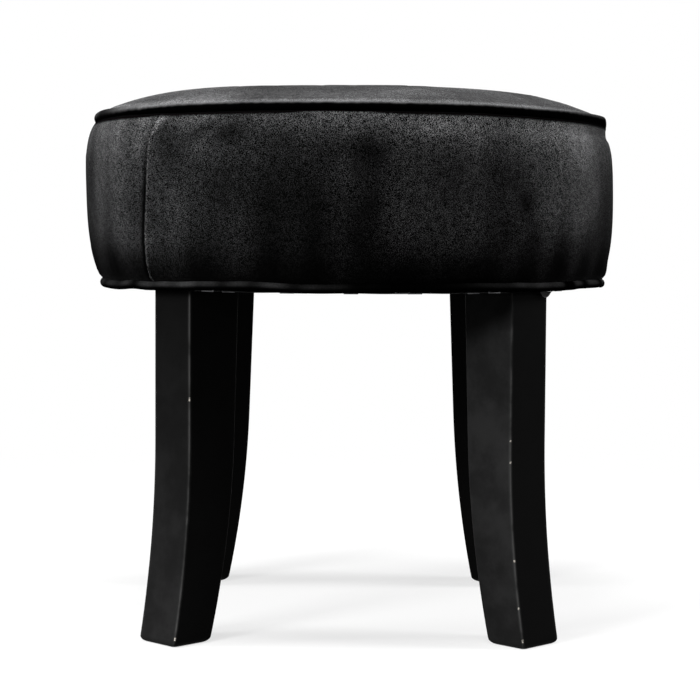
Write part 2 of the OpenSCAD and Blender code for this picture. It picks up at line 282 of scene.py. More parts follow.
@dataclass(frozen=True)
class Stretch:
    """A stretch of the seat's rim, with soft ends.

    Attributes:
        angle: Angle of its middle, in degrees.
        reach: Degrees from its middle to where it ends.
        fade: Degrees over which each end fades.
    """

    angle: float
    reach: float
    fade: float

    def at(self, angles: Array) -> Array:
        """1 inside the stretch, and 0 outside it."""
        return smooth_step((self.reach - np.abs(turn_from(angles, self.angle))) / self.fade)


@dataclass
class Unevenness:
    """A gentle seeded unevenness round the seat, made of waves that close on themselves.

    Attributes:
        seed: Seed of the random draws.
        count: Number of waves.
        turns: Fewest and most waves round the seat.
        rise: Most waves per metre of height or width.
    """

    seed: int
    count: int
    turns: tuple[int, int]
    rise: float = 0.0
    _waves: list[tuple[float, float, float]] = field(default_factory=list)

    def __post_init__(self) -> None:
        """Draws the waves."""
        draw = np.random.default_rng(self.seed)
        for _ in range(self.count):
            turn = int(draw.integers(self.turns[0], self.turns[1] + 1))
            climb = draw.uniform(-self.rise, self.rise) * 2 * math.pi
            self._waves.append((turn, climb, draw.uniform(0, 2 * math.pi)))

    def at(self, angles: Array, along: Array | float = 0.0) -> Array:
        """Value of the unevenness, with a spread of about 1.

        Args:
            angles: Angles round the seat.
            along: Distance across the surface, in metres.

        Returns:
            The sum of the waves at each place.
        """
        total = 0.0
        for turn, climb, phase in self._waves:
            total = total + np.cos(turn * angles + climb * along + phase)
        return total * math.sqrt(2 / self.count)


@dataclass(frozen=True)
class Settling:
    """A short cloth simulation that lets a cover settle between its sewn edges.

    Attributes:
        spare: Share by which the cloth is cut too large.
        cap: Most that a point may move.
        pressure: Push of the padding from inside.
        stiffness: How stiff the cloth is in bending.
        quality: Steps worked out for each frame.
        frames: Frames that it runs.
    """

    spare: float
    cap: float
    pressure: float = 3.0
    stiffness: float = 2.0
    quality: int = 6
    frames: int = 20

    def run(self, grid: Array, sewn_rows: tuple[int, ...]) -> Array:
        """Runs the simulation on a cover that closes on itself round the seat.

        Args:
            grid: The cover's points, as rows by columns by 3.
            sewn_rows: Rows that are sewn down.

        Returns:
            How far each point has moved out from its row's mean, in metres along the surface's normal.
        """
        rows, columns = grid.shape[:2]
        faces: Faces = []
        for row in range(rows - 1):
            faces += quads_between(row * columns, (row + 1) * columns, columns)
        cover = make_object("settling_cover", grid.reshape(-1, 3), faces, 180.0)
        sewn = cover.vertex_groups.new(name="sewn")
        sewn.add([row * columns + i for row in sewn_rows for i in range(columns)], 1.0, "REPLACE")
        cloth = cover.modifiers.new("settle", "CLOTH")
        rules = cloth.settings
        rules.quality = self.quality
        rules.vertex_group_mass = sewn.name
        rules.shrink_min = -self.spare
        rules.use_pressure = True
        rules.uniform_pressure_force = self.pressure
        rules.bending_stiffness = self.stiffness
        rules.effector_weights.gravity = 0.0
        scene = bpy.context.scene
        for number in range(1, self.frames + 1):
            scene.frame_set(number)
        settled = cover.evaluated_get(bpy.context.evaluated_depsgraph_get())
        found = np.empty(rows * columns * 3)
        settled.data.vertices.foreach_get("co", found)
        bpy.data.objects.remove(cover)
        scene.frame_set(1)
        moved = found.reshape(grid.shape) - grid
        along = np.gradient(grid, axis=0)
        across = np.roll(grid, -1, axis=1) - np.roll(grid, 1, axis=1)
        normal = np.cross(across, along)
        normal /= np.maximum(np.linalg.norm(normal, axis=2, keepdims=True), 1e-12)
        out = (moved * normal).sum(axis=2)
        out -= out.mean(axis=1, keepdims=True)
        LOG.info("settled %d points, by %.2f mm at most", rows * columns, np.abs(out).max() / MM)
        return self.cap * np.tanh(out / self.cap)


def resample(grid: Array, rows: Array, columns: Array) -> Array:
    """Reads a grid of values between its points.

    Args:
        grid: Values as rows by columns, where the columns go evenly round the seat.
        rows: Row numbers to read, as fractions.
        columns: Angles to read.

    Returns:
        The values, as rows by columns.
    """
    last, count = grid.shape[0] - 1, grid.shape[1]
    rows = np.clip(rows, 0, last)
    turn = (columns / (2 * math.pi) * count) % count
    r0, c0 = np.floor(rows).astype(int), np.floor(turn).astype(int)
    r1, c1 = np.minimum(r0 + 1, last), (c0 + 1) % count
    fr, fc = smooth_step(rows - r0)[:, None], smooth_step(turn - c0)[None, :]
    low = grid[np.ix_(r0, c0)] * (1 - fc) + grid[np.ix_(r0, c1)] * fc
    high = grid[np.ix_(r1, c0)] * (1 - fc) + grid[np.ix_(r1, c1)] * fc
    return low * (1 - fr) + high * fr


# Materials


class Graph:
    """Adds nodes to a node tree, one call a node."""

    def __init__(self, tree: bpy.types.NodeTree) -> None:
        """Keeps the tree to which nodes are added."""
        self.tree = tree

    def add(self, kind: str, inputs: dict | None = None, **settings: object) -> bpy.types.Node:
        """Adds a node.

        Args:
            kind: The node's type name, without its prefix.
            inputs: Socket name or number to a value, or to the output socket that feeds it.
            **settings: Properties of the node.

        Returns:
            The new node.
        """
        node = self.tree.nodes.new(kind if kind.startswith("Node") else "ShaderNode" + kind)
        for key, value in settings.items():
            setattr(node, key, value)
        for key, value in (inputs or {}).items():
            if isinstance(value, bpy.types.NodeSocket):
                self.tree.links.new(value, node.inputs[key])
            else:
                node.inputs[key].default_value = value
        return node

    def math(self, operation: str, first: object, second: object = 0.0, third: object = 0.0,
             ) -> bpy.types.NodeSocket:
        """Adds a Math node.

        Args:
            operation: The operation's name.
            first: First value or socket.
            second: Second value or socket.
            third: Third value or socket.

        Returns:
            The result's socket.
        """
        node = self.add("Math", {0: first, 1: second, 2: third}, operation=operation)
        return node.outputs[0]

    def noise(self, where: bpy.types.NodeSocket, scale: object, detail: float, roughness: float = 0.5,
              ) -> bpy.types.NodeSocket:
        """Adds a noise texture.

        Args:
            where: Socket of the coordinates.
            scale: Features per metre, as a value or a socket.
            detail: Number of finer layers.
            roughness: Strength of the finer layers.

        Returns:
            The socket of the grey value, from 0 to 1.
        """
        inputs = {"Vector": where, "Scale": scale, "Detail": detail, "Roughness": roughness}
        return self.add("TexNoise", inputs).outputs["Fac"]

    def ramp(self, value: object, low: float, high: float, start: object = 0.0, end: object = 1.0,
             ) -> bpy.types.NodeSocket:
        """Maps a value from one range to another with a soft step.

        Args:
            value: The value or socket to map.
            low: Value that gives start.
            high: Value that gives end.
            start: Result at low.
            end: Result at high.

        Returns:
            The result's socket.
        """
        node = self.add("MapRange", {"Value": value, "From Min": low, "From Max": high, "To Min": start,
                                     "To Max": end}, interpolation_type="SMOOTHSTEP")
        return node.outputs["Result"]

    def mix(self, factor: object, first: object, second: object) -> bpy.types.NodeSocket:
        """Mixes two colours.

        Args:
            factor: Share of the second colour, as a value or a socket.
            first: First colour or socket.
            second: Second colour or socket.

        Returns:
            The socket of the mixed colour.
        """
        node = self.add("Mix", {"Factor": factor, 6: rgba(first), 7: rgba(second)}, data_type="RGBA")
        return node.outputs[2]

    def bump(self, height: object, distance: float, strength: float = 1.0,
             below: bpy.types.NodeSocket | None = None) -> bpy.types.NodeSocket:
        """Adds a bump.

        Args:
            height: Socket of the height.
            distance: Height in metres that a value of 1 stands for.
            strength: Strength of the bump.
            below: Normal of a bump under this one.

        Returns:
            The socket of the normal.
        """
        inputs = {"Height": height, "Distance": distance, "Strength": strength}
        if below is not None:
            inputs["Normal"] = below
        return self.add("Bump", inputs).outputs["Normal"]

    def place(self) -> bpy.types.NodeSocket:
        """Socket of the place in the stool's frame, in metres."""
        return self.add("TexCoord").outputs["Object"]

    def marked(self, name: str) -> bpy.types.NodeSocket:
        """Socket of a value that the mesh carries under this name."""
        return self.add("Attribute", attribute_name=name).outputs["Fac"]

    def feed(self, node: bpy.types.Node, inputs: dict[str, bpy.types.NodeSocket]) -> None:
        """Feeds sockets into a node that is there already.

        Args:
            node: The node.
            inputs: Name of each input to the socket that feeds it.
        """
        for key, socket in inputs.items():
            self.tree.links.new(socket, node.inputs[key])


def rgba(color: object) -> object:
    """A colour with its alpha, or a socket as it is."""
    return (*color, 1.0) if isinstance(color, tuple) and len(color) == 3 else color


def new_group(name: str, inputs: dict[str, float],
              outputs: tuple[str, ...]) -> tuple[bpy.types.NodeTree, Graph]:
    """Makes an empty shader node group.

    Args:
        name: The group's name.
        inputs: Each number that goes in, with its usual value.
        outputs: Each number that comes out.

    Returns:
        The group and the graph that adds nodes to it.
    """
    tree = bpy.data.node_groups.new(name, "ShaderNodeTree")
    for label, value in inputs.items():
        socket = tree.interface.new_socket(label, in_out="INPUT", socket_type="NodeSocketFloat")
        socket.default_value = value
    for label in outputs:
        tree.interface.new_socket(label, in_out="OUTPUT", socket_type="NodeSocketFloat")
    return tree, Graph(tree)


def pile_group() -> bpy.types.NodeTree:
    """Fibres of a soft surface: patches brushed up and down, and a fine grain that stands up from it.

    Returns:
        The group, with the patches, the grain and the height of the grain as outputs.
    """
    usual = {"Grain per metre": 900.0, "Patches per metre": 14.0}
    tree, graph = new_group("fibre_pile", usual, ("Patches", "Grain", "Height"))
    given = graph.add("NodeGroupInput").outputs
    place = graph.place()
    warp = graph.add("TexNoise", {"Vector": place, "Scale": 9.0, "Detail": 2.0})
    bent = graph.add("VectorMath", {0: warp.outputs["Color"], "Scale": 0.05}, operation="SCALE")
    upright = graph.add("VectorMath", {0: place, 1: (1.0, 1.0, 0.4)}, operation="MULTIPLY").outputs[0]
    moved = graph.add("VectorMath", {0: upright, 1: bent.outputs[0]}, operation="ADD").outputs[0]
    patches = graph.noise(moved, given["Patches per metre"], 4.0, 0.6)
    fine = graph.noise(place, given["Grain per metre"], 1.0, 0.6)
    coarse = graph.noise(place, graph.math("MULTIPLY", given["Grain per metre"], 0.13), 3.0, 0.6)
    mixed = graph.math("MULTIPLY_ADD", fine, 0.84, graph.math("MULTIPLY", coarse, 0.16))
    graph.add("NodeGroupOutput", {"Patches": patches, "Grain": mixed, "Height": fine})
    return tree


def wood_group() -> bpy.types.NodeTree:
    """Grain lines that run along an axis, with pores between them.

    Returns:
        The group, with the figure, the pores and a height as outputs.
    """
    usual = {"Lines per metre": 220.0, "Along X": 1.0, "Along Y": 1.0, "Along Z": 0.06}
    tree, graph = new_group("wood_figure", usual, ("Figure", "Pores", "Height"))
    given = graph.add("NodeGroupInput").outputs
    stretch = graph.add("CombineXYZ", {"X": given["Along X"], "Y": given["Along Y"], "Z": given["Along Z"]})
    stretched = graph.add("VectorMath", {0: graph.place(), 1: stretch.outputs[0]}, operation="MULTIPLY")
    place = stretched.outputs[0]
    figure = graph.noise(place, given["Lines per metre"], 3.0, 0.6)
    pore_lines = graph.math("MULTIPLY", given["Lines per metre"], 5.0)
    pores = graph.ramp(graph.noise(place, pore_lines, 1.0), 0.55, 0.75)
    height = graph.math("MULTIPLY_ADD", pores, -0.6, figure)
    graph.add("NodeGroupOutput", {"Figure": figure, "Pores": pores, "Height": height})
    return tree


@dataclass
class Effects:
    """The node groups that several materials share, each built once."""

    pile: bpy.types.NodeTree = field(default_factory=pile_group)
    wood: bpy.types.NodeTree = field(default_factory=wood_group)


def new_material(name: str, constants: dict) -> tuple[bpy.types.Material, Graph, bpy.types.Node]:
    """Makes a material with one Principled shader.

    Args:
        name: The material's name.
        constants: Values of the shader's own sockets.

    Returns:
        The material, the graph that adds nodes to it, and the shader.
    """
    material = bpy.data.materials.new(name)
    material.use_nodes = True
    tree = material.node_tree
    tree.nodes.clear()
    graph = Graph(tree)
    shader = graph.add("BsdfPrincipled", constants)
    graph.add("OutputMaterial", {"Surface": shader.outputs[0]})
    return material, graph, shader


@dataclass(frozen=True)
class Velvet:
    """Short-pile velvet: dark when looked into, paler at a glance, clouded where the pile is brushed.

    A mesh value gives how far the pile lies over, with painted light and shade; "even" gives its evenness.

    Attributes:
        name: The material's name.
        deep: Colour between the fibres.
        brushed_and_lit: Colour of fibres that lie over, which also paints the light.
        sheen: Strength of the pale rim.
        grain: Grain per metre.
        grain_height: Height of the pile's grain.
        patches: Brushed patches per metre.
        patch_height: Height of the patches.
        specks: Levels of the grain at which a fibre begins to catch light and catches it all.
        speck_mean: Light of the specks when the pile is even.
    """

    name: str = "black_velvet"
    deep: Color = (0.001, 0.001, 0.001)
    brushed_and_lit: Color = (0.262, 0.262, 0.267)
    sheen: float = 0.01
    grain: float = 2050.0
    grain_height: float = 0.4 * MM
    patches: float = 16.0
    patch_height: float = 2.5 * MM
    specks: tuple[float, float] = (0.508, 0.586)
    speck_mean: float = 0.26

    def build(self, effects: Effects) -> bpy.types.Material:
        """Builds the material.

        Args:
            effects: The shared node groups.

        Returns:
            The material.
        """
        constants = {"Roughness": 1.0, "Specular IOR Level": 0.0, "Sheen Weight": self.sheen,
                     "Sheen Roughness": 0.4, "Sheen Tint": (0.97, 0.97, 1.0, 1.0)}
        material, graph, shader = new_material(self.name, constants)
        scales = {"Grain per metre": self.grain, "Patches per metre": self.patches}
        pile = graph.add("Group", scales, node_tree=effects.pile).outputs
        cloud = graph.ramp(pile["Patches"], 0.3, 0.7, 0.65, 1.35)
        speck = graph.ramp(pile["Grain"], *self.specks)
        to_mean = graph.math("SUBTRACT", self.speck_mean, speck)
        blurred = graph.math("MULTIPLY_ADD", to_mean, graph.marked("even"), speck)
        # Mixes towards the pale colour by the pile lying over and by the painted light and shade that the
        # mesh carries.
        share = graph.math("MULTIPLY", graph.math("MULTIPLY", graph.marked("pile_and_painted_light"), cloud), blurred)
        soft = graph.bump(pile["Patches"], self.patch_height, 0.4)
        fine = graph.bump(pile["Height"], self.grain_height, 0.6, soft)
        graph.feed(shader, {"Base Color": graph.mix(share, self.deep, self.brushed_and_lit), "Normal": fine})
        return material


@dataclass(frozen=True)
class Lacquer:
    """Satin black lacquer on wood, rubbed thin along the arrises and chipped in a few places.

    The mesh gives the arrises in "arris", rubbed thin and with a painted highlight, the chips in "chip",
    and in "dull" the painted light on each face, mottled like dust.

    Attributes:
        name: The material's name.
        coat: Colour of the lacquer.
        lit_and_dusty: Paler colour that paints light on lit faces, in a dusty mottle.
        rubbed_and_highlit: Colour where it is rubbed thin, which also paints the highlight along the
            arrises.
        bare: Colour of the wood where it is chipped.
    """

    name: str = "black_lacquer"
    coat: Color = (0.0022, 0.0022, 0.0022)
    lit_and_dusty: Color = (0.03, 0.03, 0.0302)
    rubbed_and_highlit: Color = (0.085, 0.085, 0.084)
    bare: Color = (0.6, 0.56, 0.5)

    def build(self, effects: Effects) -> bpy.types.Material:
        """Builds the material.

        Args:
            effects: The shared node groups.

        Returns:
            The material.
        """
        material, graph, shader = new_material(self.name, {"Specular IOR Level": 0.01})
        wood = graph.add("Group", {"Lines per metre": 300.0}, node_tree=effects.wood).outputs
        cloud = graph.noise(graph.place(), 30.0, 6.0, 0.65)
        dusty = graph.ramp(cloud, 0.35, 0.65, 0.7, 1.3)
        touched = graph.ramp(graph.noise(graph.place(), 60.0, 3.0), 0.35, 0.6, 0.35, 1.0)
        cracked = graph.ramp(graph.noise(graph.place(), 900.0, 2.0), 0.35, 0.55)
        # Painted light: lit faces are mixed towards the paler colour, in a dusty mottle.
        share = graph.math("MULTIPLY", graph.marked("dull"), dusty)
        # Rubbed arrises: thin lacquer, and a painted highlight along the edges.
        worn_and_highlit = graph.math("MULTIPLY", graph.marked("arris"), touched)
        broken = graph.math("MULTIPLY", graph.marked("chip"), cracked)
        thin = graph.mix(worn_and_highlit, graph.mix(share, self.coat, self.lit_and_dusty), self.rubbed_and_highlit)
        graph.feed(shader, {"Base Color": graph.mix(broken, thin, self.bare),
                            "Roughness": graph.ramp(cloud, 0.3, 0.7, 0.38, 0.5),
                            "Normal": graph.bump(wood["Height"], 0.02 * MM, 0.25)})
        return material


@dataclass(frozen=True)
class Timber:
    """Raw wood or board.

    Attributes:
        name: The material's name.
        pale: Colour between the grain lines.
        dark: Colour of the grain lines.
        lines: Grain lines per metre.
        stretch: How much each axis counts in the grain, small along the fibres.
    """

    name: str
    pale: Color
    dark: Color
    lines: float
    stretch: tuple[float, float, float]

    def build(self, effects: Effects) -> bpy.types.Material:
        """Builds the material.

        Args:
            effects: The shared node groups.

        Returns:
            The material.
        """
        material, graph, shader = new_material(self.name, {"Specular IOR Level": 0.3})
        along = {f"Along {axis}": value for axis, value in zip("XYZ", self.stretch)}
        wood = graph.add("Group", {"Lines per metre": self.lines, **along}, node_tree=effects.wood).outputs
        share = graph.ramp(wood["Figure"], 0.3, 0.7)
        graph.feed(shader, {"Base Color": graph.mix(share, self.pale, self.dark),
                            "Roughness": graph.ramp(wood["Pores"], 0.0, 1.0, 0.6, 0.8),
                            "Normal": graph.bump(wood["Height"], 0.1 * MM, 0.5)})
        return material


@dataclass(frozen=True)
class Fibre:
    """Foam, wadding, cord or thin cloth.

    Attributes:
        name: The material's name.
        pale: Colour of its high parts.
        dark: Colour of its hollows.
        grain: Grain per metre.
        height: Height of the grain.
        roughness: Roughness of the surface.
    """

    name: str
    pale: Color
    dark: Color
    grain: float
    height: float
    roughness: float = 0.9

    def build(self, effects: Effects) -> bpy.types.Material:
        """Builds the material.

        Args:
            effects: The shared node groups.

        Returns:
            The material.
        """
        constants = {"Roughness": self.roughness, "Sheen Weight": 0.1}
        material, graph, shader = new_material(self.name, constants)
        pile = graph.add("Group", {"Grain per metre": self.grain}, node_tree=effects.pile).outputs
        share = graph.ramp(pile["Grain"], 0.25, 0.75)
        graph.feed(shader, {"Base Color": graph.mix(share, self.dark, self.pale),
                            "Normal": graph.bump(pile["Height"], self.height, 0.8)})
        return material


@dataclass(frozen=True)
class Plating:
    """Plated steel with a faint mottle.

    Attributes:
        name: The material's name.
        bright: Colour of the bright plating.
        dull: Colour where it has dulled.
        roughness: Roughness of the bright plating.
    """

    name: str
    bright: Color
    dull: Color
    roughness: float

    def build(self, effects: Effects) -> bpy.types.Material:
        """Builds the material.

        Args:
            effects: The shared node groups.

        Returns:
            The material.
        """
        material, graph, shader = new_material(self.name, {"Metallic": 1.0})
        scales = {"Grain per metre": 1500.0, "Patches per metre": 90.0}
        pile = graph.add("Group", scales, node_tree=effects.pile).outputs
        mottle = graph.ramp(pile["Patches"], 0.4, 0.65)
        graph.feed(shader, {"Base Color": graph.mix(mottle, self.bright, self.dull),
                            "Roughness": graph.ramp(mottle, 0.0, 1.0, self.roughness, self.roughness + 0.2),
                            "Normal": graph.bump(pile["Height"], 0.02 * MM, 0.3)})
        return material


class Finishes:
    """Every finish of the stool: one for each slot, the pipings' velvet and the dust cover's back."""

    def __init__(self) -> None:
        """Builds the materials."""
        effects = Effects()
        flat, upright, no_grain = (1.0, 0.05, 1.0), (1.0, 1.0, 0.06), (1.0, 1.0, 1.0)
        choices = {
            Slot.VELVET: Velvet(),
            Slot.LACQUER: Lacquer(),
            Slot.PLYWOOD: Timber("plywood", (0.62, 0.45, 0.26), (0.46, 0.3, 0.15), 60.0, flat),
            Slot.PINE: Timber("pine", (0.74, 0.55, 0.32), (0.52, 0.33, 0.15), 90.0, upright),
            Slot.HARDBOARD: Timber("hardboard", (0.3, 0.18, 0.09), (0.2, 0.11, 0.05), 700.0, no_grain),
            Slot.FOAM: Fibre("cushion_foam", (0.84, 0.78, 0.6), (0.6, 0.52, 0.34), 800.0, 0.5 * MM),
            Slot.WADDING: Fibre("wadding", (0.92, 0.92, 0.9), (0.74, 0.74, 0.72), 350.0, 1.0 * MM),
            Slot.CORD: Fibre("cotton_cord", (0.8, 0.76, 0.68), (0.55, 0.5, 0.42), 1500.0, 0.3 * MM),
            Slot.DUST_CLOTH: Fibre("dust_cloth", (0.03, 0.03, 0.032), (0.01, 0.01, 0.011), 1100.0,
                                   0.15 * MM),
            Slot.ZINC: Plating("zinc_plate", (0.66, 0.67, 0.67), (0.5, 0.51, 0.52), 0.28),
            Slot.YELLOW: Plating("yellow_zinc_plate", (0.7, 0.55, 0.22), (0.55, 0.4, 0.2), 0.3),
            Slot.WIRE: Plating("galvanised_wire", (0.13, 0.13, 0.135), (0.08, 0.08, 0.083), 0.55),
        }
        self.materials = {slot: finish.build(effects) for slot, finish in choices.items()}
        lining = Fibre("lining_cloth", (0.075, 0.075, 0.077), (0.035, 0.035, 0.037), 900.0, 0.2 * MM)
        # The pipings' velvet: near black, with a pale colour that paints the highlight along the top of
        # each roll.
        piping_pile_and_highlight = Velvet("piping_velvet", deep=(0.0006, 0.0006, 0.0006), brushed_and_lit=(0.36, 0.36, 0.365),
                       sheen=0.0, grain=1500.0, grain_height=0.2 * MM)
        self.lining, self.piping = lining.build(effects), piping_pile_and_highlight.build(effects)

    def dress(self, piece: bpy.types.Object, slot: Slot, own: bpy.types.Material | None = None) -> None:
        """Gives a piece its finish, in place of any that it has.

        Args:
            piece: The piece to dress.
            slot: Its material slot.
            own: The piece's own finish, where it isn't the slot's.
        """
        piece.data.materials.clear()
        piece.data.materials.append(own or self.materials[slot])


def install(piece: bpy.types.Object, slot: Slot, finishes: Finishes, *nodes: str,
            own: bpy.types.Material | None = None) -> None:
    """Dresses a finished piece, lets it ride on the stool and puts it in the place of CAD nodes.

    Args:
        piece: The piece.
        slot: Its material slot.
        finishes: The stool's finishes.
        *nodes: The CAD nodes that it stands for.
        own: The piece's own finish, where it isn't the slot's.
    """
    finishes.dress(piece, slot, own)
    if nodes:
        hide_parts(*nodes)
    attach(piece, BODY)
    LOG.info("%s: %d faces, for %s", piece.name, len(piece.data.polygons), ", ".join(nodes) or "no node")


# The seat


@dataclass
class SeatForm:
    """The seat's outlines, read from the frame, and the way that the worn cushion has settled.

    Attributes:
        velvet: Thickness of the velvet.
        full_share: Share of the band's height at which it is fullest.
        band_taper: How much the band leans in evenly below that.
        top_turn: How late the band turns in towards the top piping.
        bottom_turn: How late it turns in towards the bottom piping.
        crown_fullness: How full the crown stays towards its edge.
        seam_angle: Angle of the band's upright seam.
        slump_angle: Angle of the shoulder that has sunk.
        slump_drop: How far the rim has sunk there.
        slump_pull: How far the band has drawn in below it.
        slump_tuck: How much further it has drawn in just below the top piping, as a share.
        left_fullness: How much fuller the crown has stayed at its left.
        crown_sink: How far the crown's middle has sunk where it is sat on.
        sink_x: Place of the deepest line across the crown.
        sink_half: Half the width of the sunk part.
        right_reach: How far the bottom rim stands out further at its right.
        hem_reach: Height over which the band follows its bottom rim up and down.
        tips: Where the ends of the top rim hang down, and how far.
        rim_lifts: Angles in degrees, and how far the hem has been stapled up there, in millimetres.
        lift_blur: Angles in degrees over which the lifts are smoothed.
        dip: Height of the rims' long waves.
        ripple: Height of their short ones.
    """

    velvet: float = 1.0 * MM
    full_share: float = 0.66
    band_taper: float = 2.0 * MM
    top_turn: float = 3.5
    bottom_turn: float = 4.0
    crown_fullness: float = 0.8
    seam_angle: float = math.radians(224.5)
    slump_angle: float = math.radians(-12.0)
    slump_drop: float = 2.6 * MM
    slump_pull: float = 5.0 * MM
    slump_tuck: float = 0.32
    left_fullness: float = 5.0 * MM
    crown_sink: float = 2.9 * MM
    sink_x: float = -27 * MM
    sink_half: float = 95 * MM
    right_reach: float = 2.2 * MM
    hem_reach: float = 22 * MM
    tips: tuple[Hump, ...] = (Hump(188, 13, 1.6 * MM), Hump(357, 12, 1.1 * MM))
    rim_lifts: tuple[tuple[float, float], ...] = (
        (0, 1.0), (60, 0.6), (120, 0.8), (180, 0.2), (203, -0.9), (211, -0.3), (215, 0.4), (219, 0.0),
        (226, 0.6), (232, 1.7), (240, 2.4), (248, 2.3), (255, 1.6), (263, 0.5), (271, 1.7), (284, 2.1),
        (292, 1.6), (306, 2.1), (325, 1.6), (336, 2.0), (347, 1.4), (360, 1.0))
    lift_blur: tuple[float, ...] = (-3, -1.5, 0, 1.5, 3)
    dip: float = 0.2 * MM
    ripple: float = 0.14 * MM

    def __post_init__(self) -> None:
        """Reads the seat's main sizes from the frame."""
        band_high, deck_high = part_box("side_band")[1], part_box("seat_board")[1]
        panel_low, panel_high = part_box("top_panel")
        board_low, board_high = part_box("base_board")
        self.seat_r, self.tuck_z = band_high.x, band_high.z
        self.edge_r, self.apex_z = panel_high.x, panel_high.z
        self.tab_z, self.base_z, self.deck_z = panel_low.z, board_low.z, deck_high.z
        self.board_r = board_high.x
        self.cord_r, self.piping_r, self.rim_r, self.rim_z = {}, {}, {}, {}
        for rim in Rim:
            cord_low, cord_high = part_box(f"{rim.value}_piping_cord")
            self.cord_r[rim] = (cord_high.z - cord_low.z) / 2
            self.piping_r[rim] = self.cord_r[rim] + self.velvet
            self.rim_r[rim] = cord_high.x - self.cord_r[rim]
            self.rim_z[rim] = (cord_high.z + cord_low.z) / 2
        self.crown_z = self.rim_z[Rim.TOP] + self.piping_r[Rim.TOP] + self.velvet / 4
        self.band_h = self.rim_z[Rim.TOP] - self.rim_z[Rim.BOTTOM]
        self._dips = Unevenness(11, 5, (3, 9))
        self._ripples = Unevenness(12, 7, (14, 40))

    def dome(self, r: Array) -> Array:
        """Height of the crown's outer surface at radius r, before it settled."""
        u2 = (r / self.edge_r) ** 2
        return self.crown_z + (self.apex_z - self.crown_z) * (1 - u2) * (1 + self.crown_fullness * u2)

    def share(self, z: Array) -> Array:
        """Height z as a share of the band's height."""
        return (z - self.rim_z[Rim.BOTTOM]) / self.band_h

    def band(self, z: Array) -> Array:
        """Radius of the band's outer surface at height z, before it settled.

        Args:
            z: Heights.

        Returns:
            The radii.
        """
        share = self.share(z)
        above = np.maximum(0, (share - self.full_share) / (1 - self.full_share))
        below = np.maximum(0, (self.full_share - share) / self.full_share)
        top_draw = self.seat_r - self.rim_r[Rim.TOP] - self.piping_r[Rim.TOP] / 4
        bottom_draw = self.seat_r - self.rim_r[Rim.BOTTOM] - self.piping_r[Rim.BOTTOM] / 3 - self.band_taper
        drawn = top_draw * above ** self.top_turn + bottom_draw * below ** self.bottom_turn
        return self.seat_r - drawn - self.band_taper * below

    def settled(self, radii: Array, heights: Array, angles: Array) -> Loop:
        """Moves points of the cushion as it has settled in use.

        Args:
            radii: Radii, as rows by columns.
            heights: Heights, as rows by columns.
            angles: Angles of the columns.

        Returns:
            The moved radii and heights.
        """
        slump = facing(angles, self.slump_angle, 8)
        lift = rising(heights, self.deck_z, self.rim_z[Rim.TOP] - 4 * MM)
        drop = self.slump_drop * slump * rising(radii / self.edge_r, 0.72, 1.0)
        u2 = np.minimum(1.0, (radii / self.edge_r) ** 2)
        across = (radii * np.cos(angles) - self.sink_x) / self.sink_half
        crown = (1 - u2) * self.left_fullness * u2 * facing(angles, math.pi, 2)
        crown = crown - self.crown_sink * bell(across) * np.maximum(0, 1 - u2 ** 2) ** 0.7
        pull = self.slump_pull * slump * self.climb(heights)
        pull = pull * np.clip((radii - self.edge_r - 4 * MM) / (7 * MM), 0, 1)
        out = self.right_reach * self.near_hem(heights) * facing(angles, 0.0, 4) * self.off_board(radii)
        return radii - pull + out, heights + lift * (crown - drop) + self.sag(radii, heights, angles)

    def climb(self, z: Array) -> Array:
        """How much of the slumped shoulder's pull the band feels at height z.

        Args:
            z: Heights.

        Returns:
            The share at each height.
        """
        below_rim = self.rim_z[Rim.TOP] - z
        tuck = self.slump_tuck * between(below_rim, 3 * MM, 6 * MM, 9 * MM, 17 * MM)
        return np.clip((z - self.rim_z[Rim.BOTTOM] - 10 * MM) / (100 * MM), 0, 1) ** 1.8 * (1 + tuck)

    def near_hem(self, z: Array) -> Array:
        """1 at the bottom rim, falling to 0 where the band no longer follows it."""
        return 1 - rising(z - self.rim_z[Rim.BOTTOM], 0.0, self.hem_reach)

    def off_board(self, r: Array) -> Array:
        """0 over the base board, which holds the hem level, and 1 just outside it."""
        return rising(r / self.board_r, 1.0, 1.02)

    def sag(self, r: Array, z: Array, angles: Array) -> Array:
        """How far hand work has left the two rims out of level.

        Args:
            r: Radii.
            z: Heights.
            angles: Angles round the seat.

        Returns:
            The height to add at each place.
        """
        low = self.near_hem(z)
        high = between(z - self.rim_z[Rim.TOP], -22 * MM, 0.0, 0.0, 10 * MM)
        wave = self._dips.at(angles) * self.dip + self._ripples.at(angles) * self.ripple
        drop = sum(tip.at(angles) for tip in self.tips)
        return self.off_board(r) * ((low + 0.5 * high) * wave + low * self.lifted(angles) - high * drop)

    def lifted(self, angles: Array) -> Array:
        """How far the bottom rim has been stapled up at each angle.

        Args:
            angles: Angles round the seat.

        Returns:
            The height to add at each angle.
        """
        turns, lifts = np.array(self.rim_lifts).T
        near = [np.interp((np.degrees(angles) + aside) % 360, turns, lifts) for aside in self.lift_blur]
        return np.mean(near, axis=0) * MM


@dataclass(frozen=True)
class PileAndLightPatch:
    """A soft spot paler or darker than round it; some are brushed pile and some painted light and shade.

    Attributes:
        angle: Angle of its middle, in degrees.
        z: Height of its middle, in millimetres.
        width: Half its width, in degrees.
        height: Half its height, in millimetres.
        strength: How much paler it is.
        lean: How many degrees it moves round the seat for each millimetre that it rises.
    """

    angle: float
    z: float
    width: float
    height: float
    strength: float
    lean: float = 0.0

    def at(self, z: Array, angles: Array) -> Array:
        """Strength of the spot at each height and angle.

        Args:
            z: Heights.
            angles: Angles round the seat.

        Returns:
            The paleness to add at each place.
        """
        rise = z / MM - self.z
        turn = turn_from(angles, self.angle + self.lean * rise)
        return self.strength * bell(turn / self.width) * bell(rise / self.height)


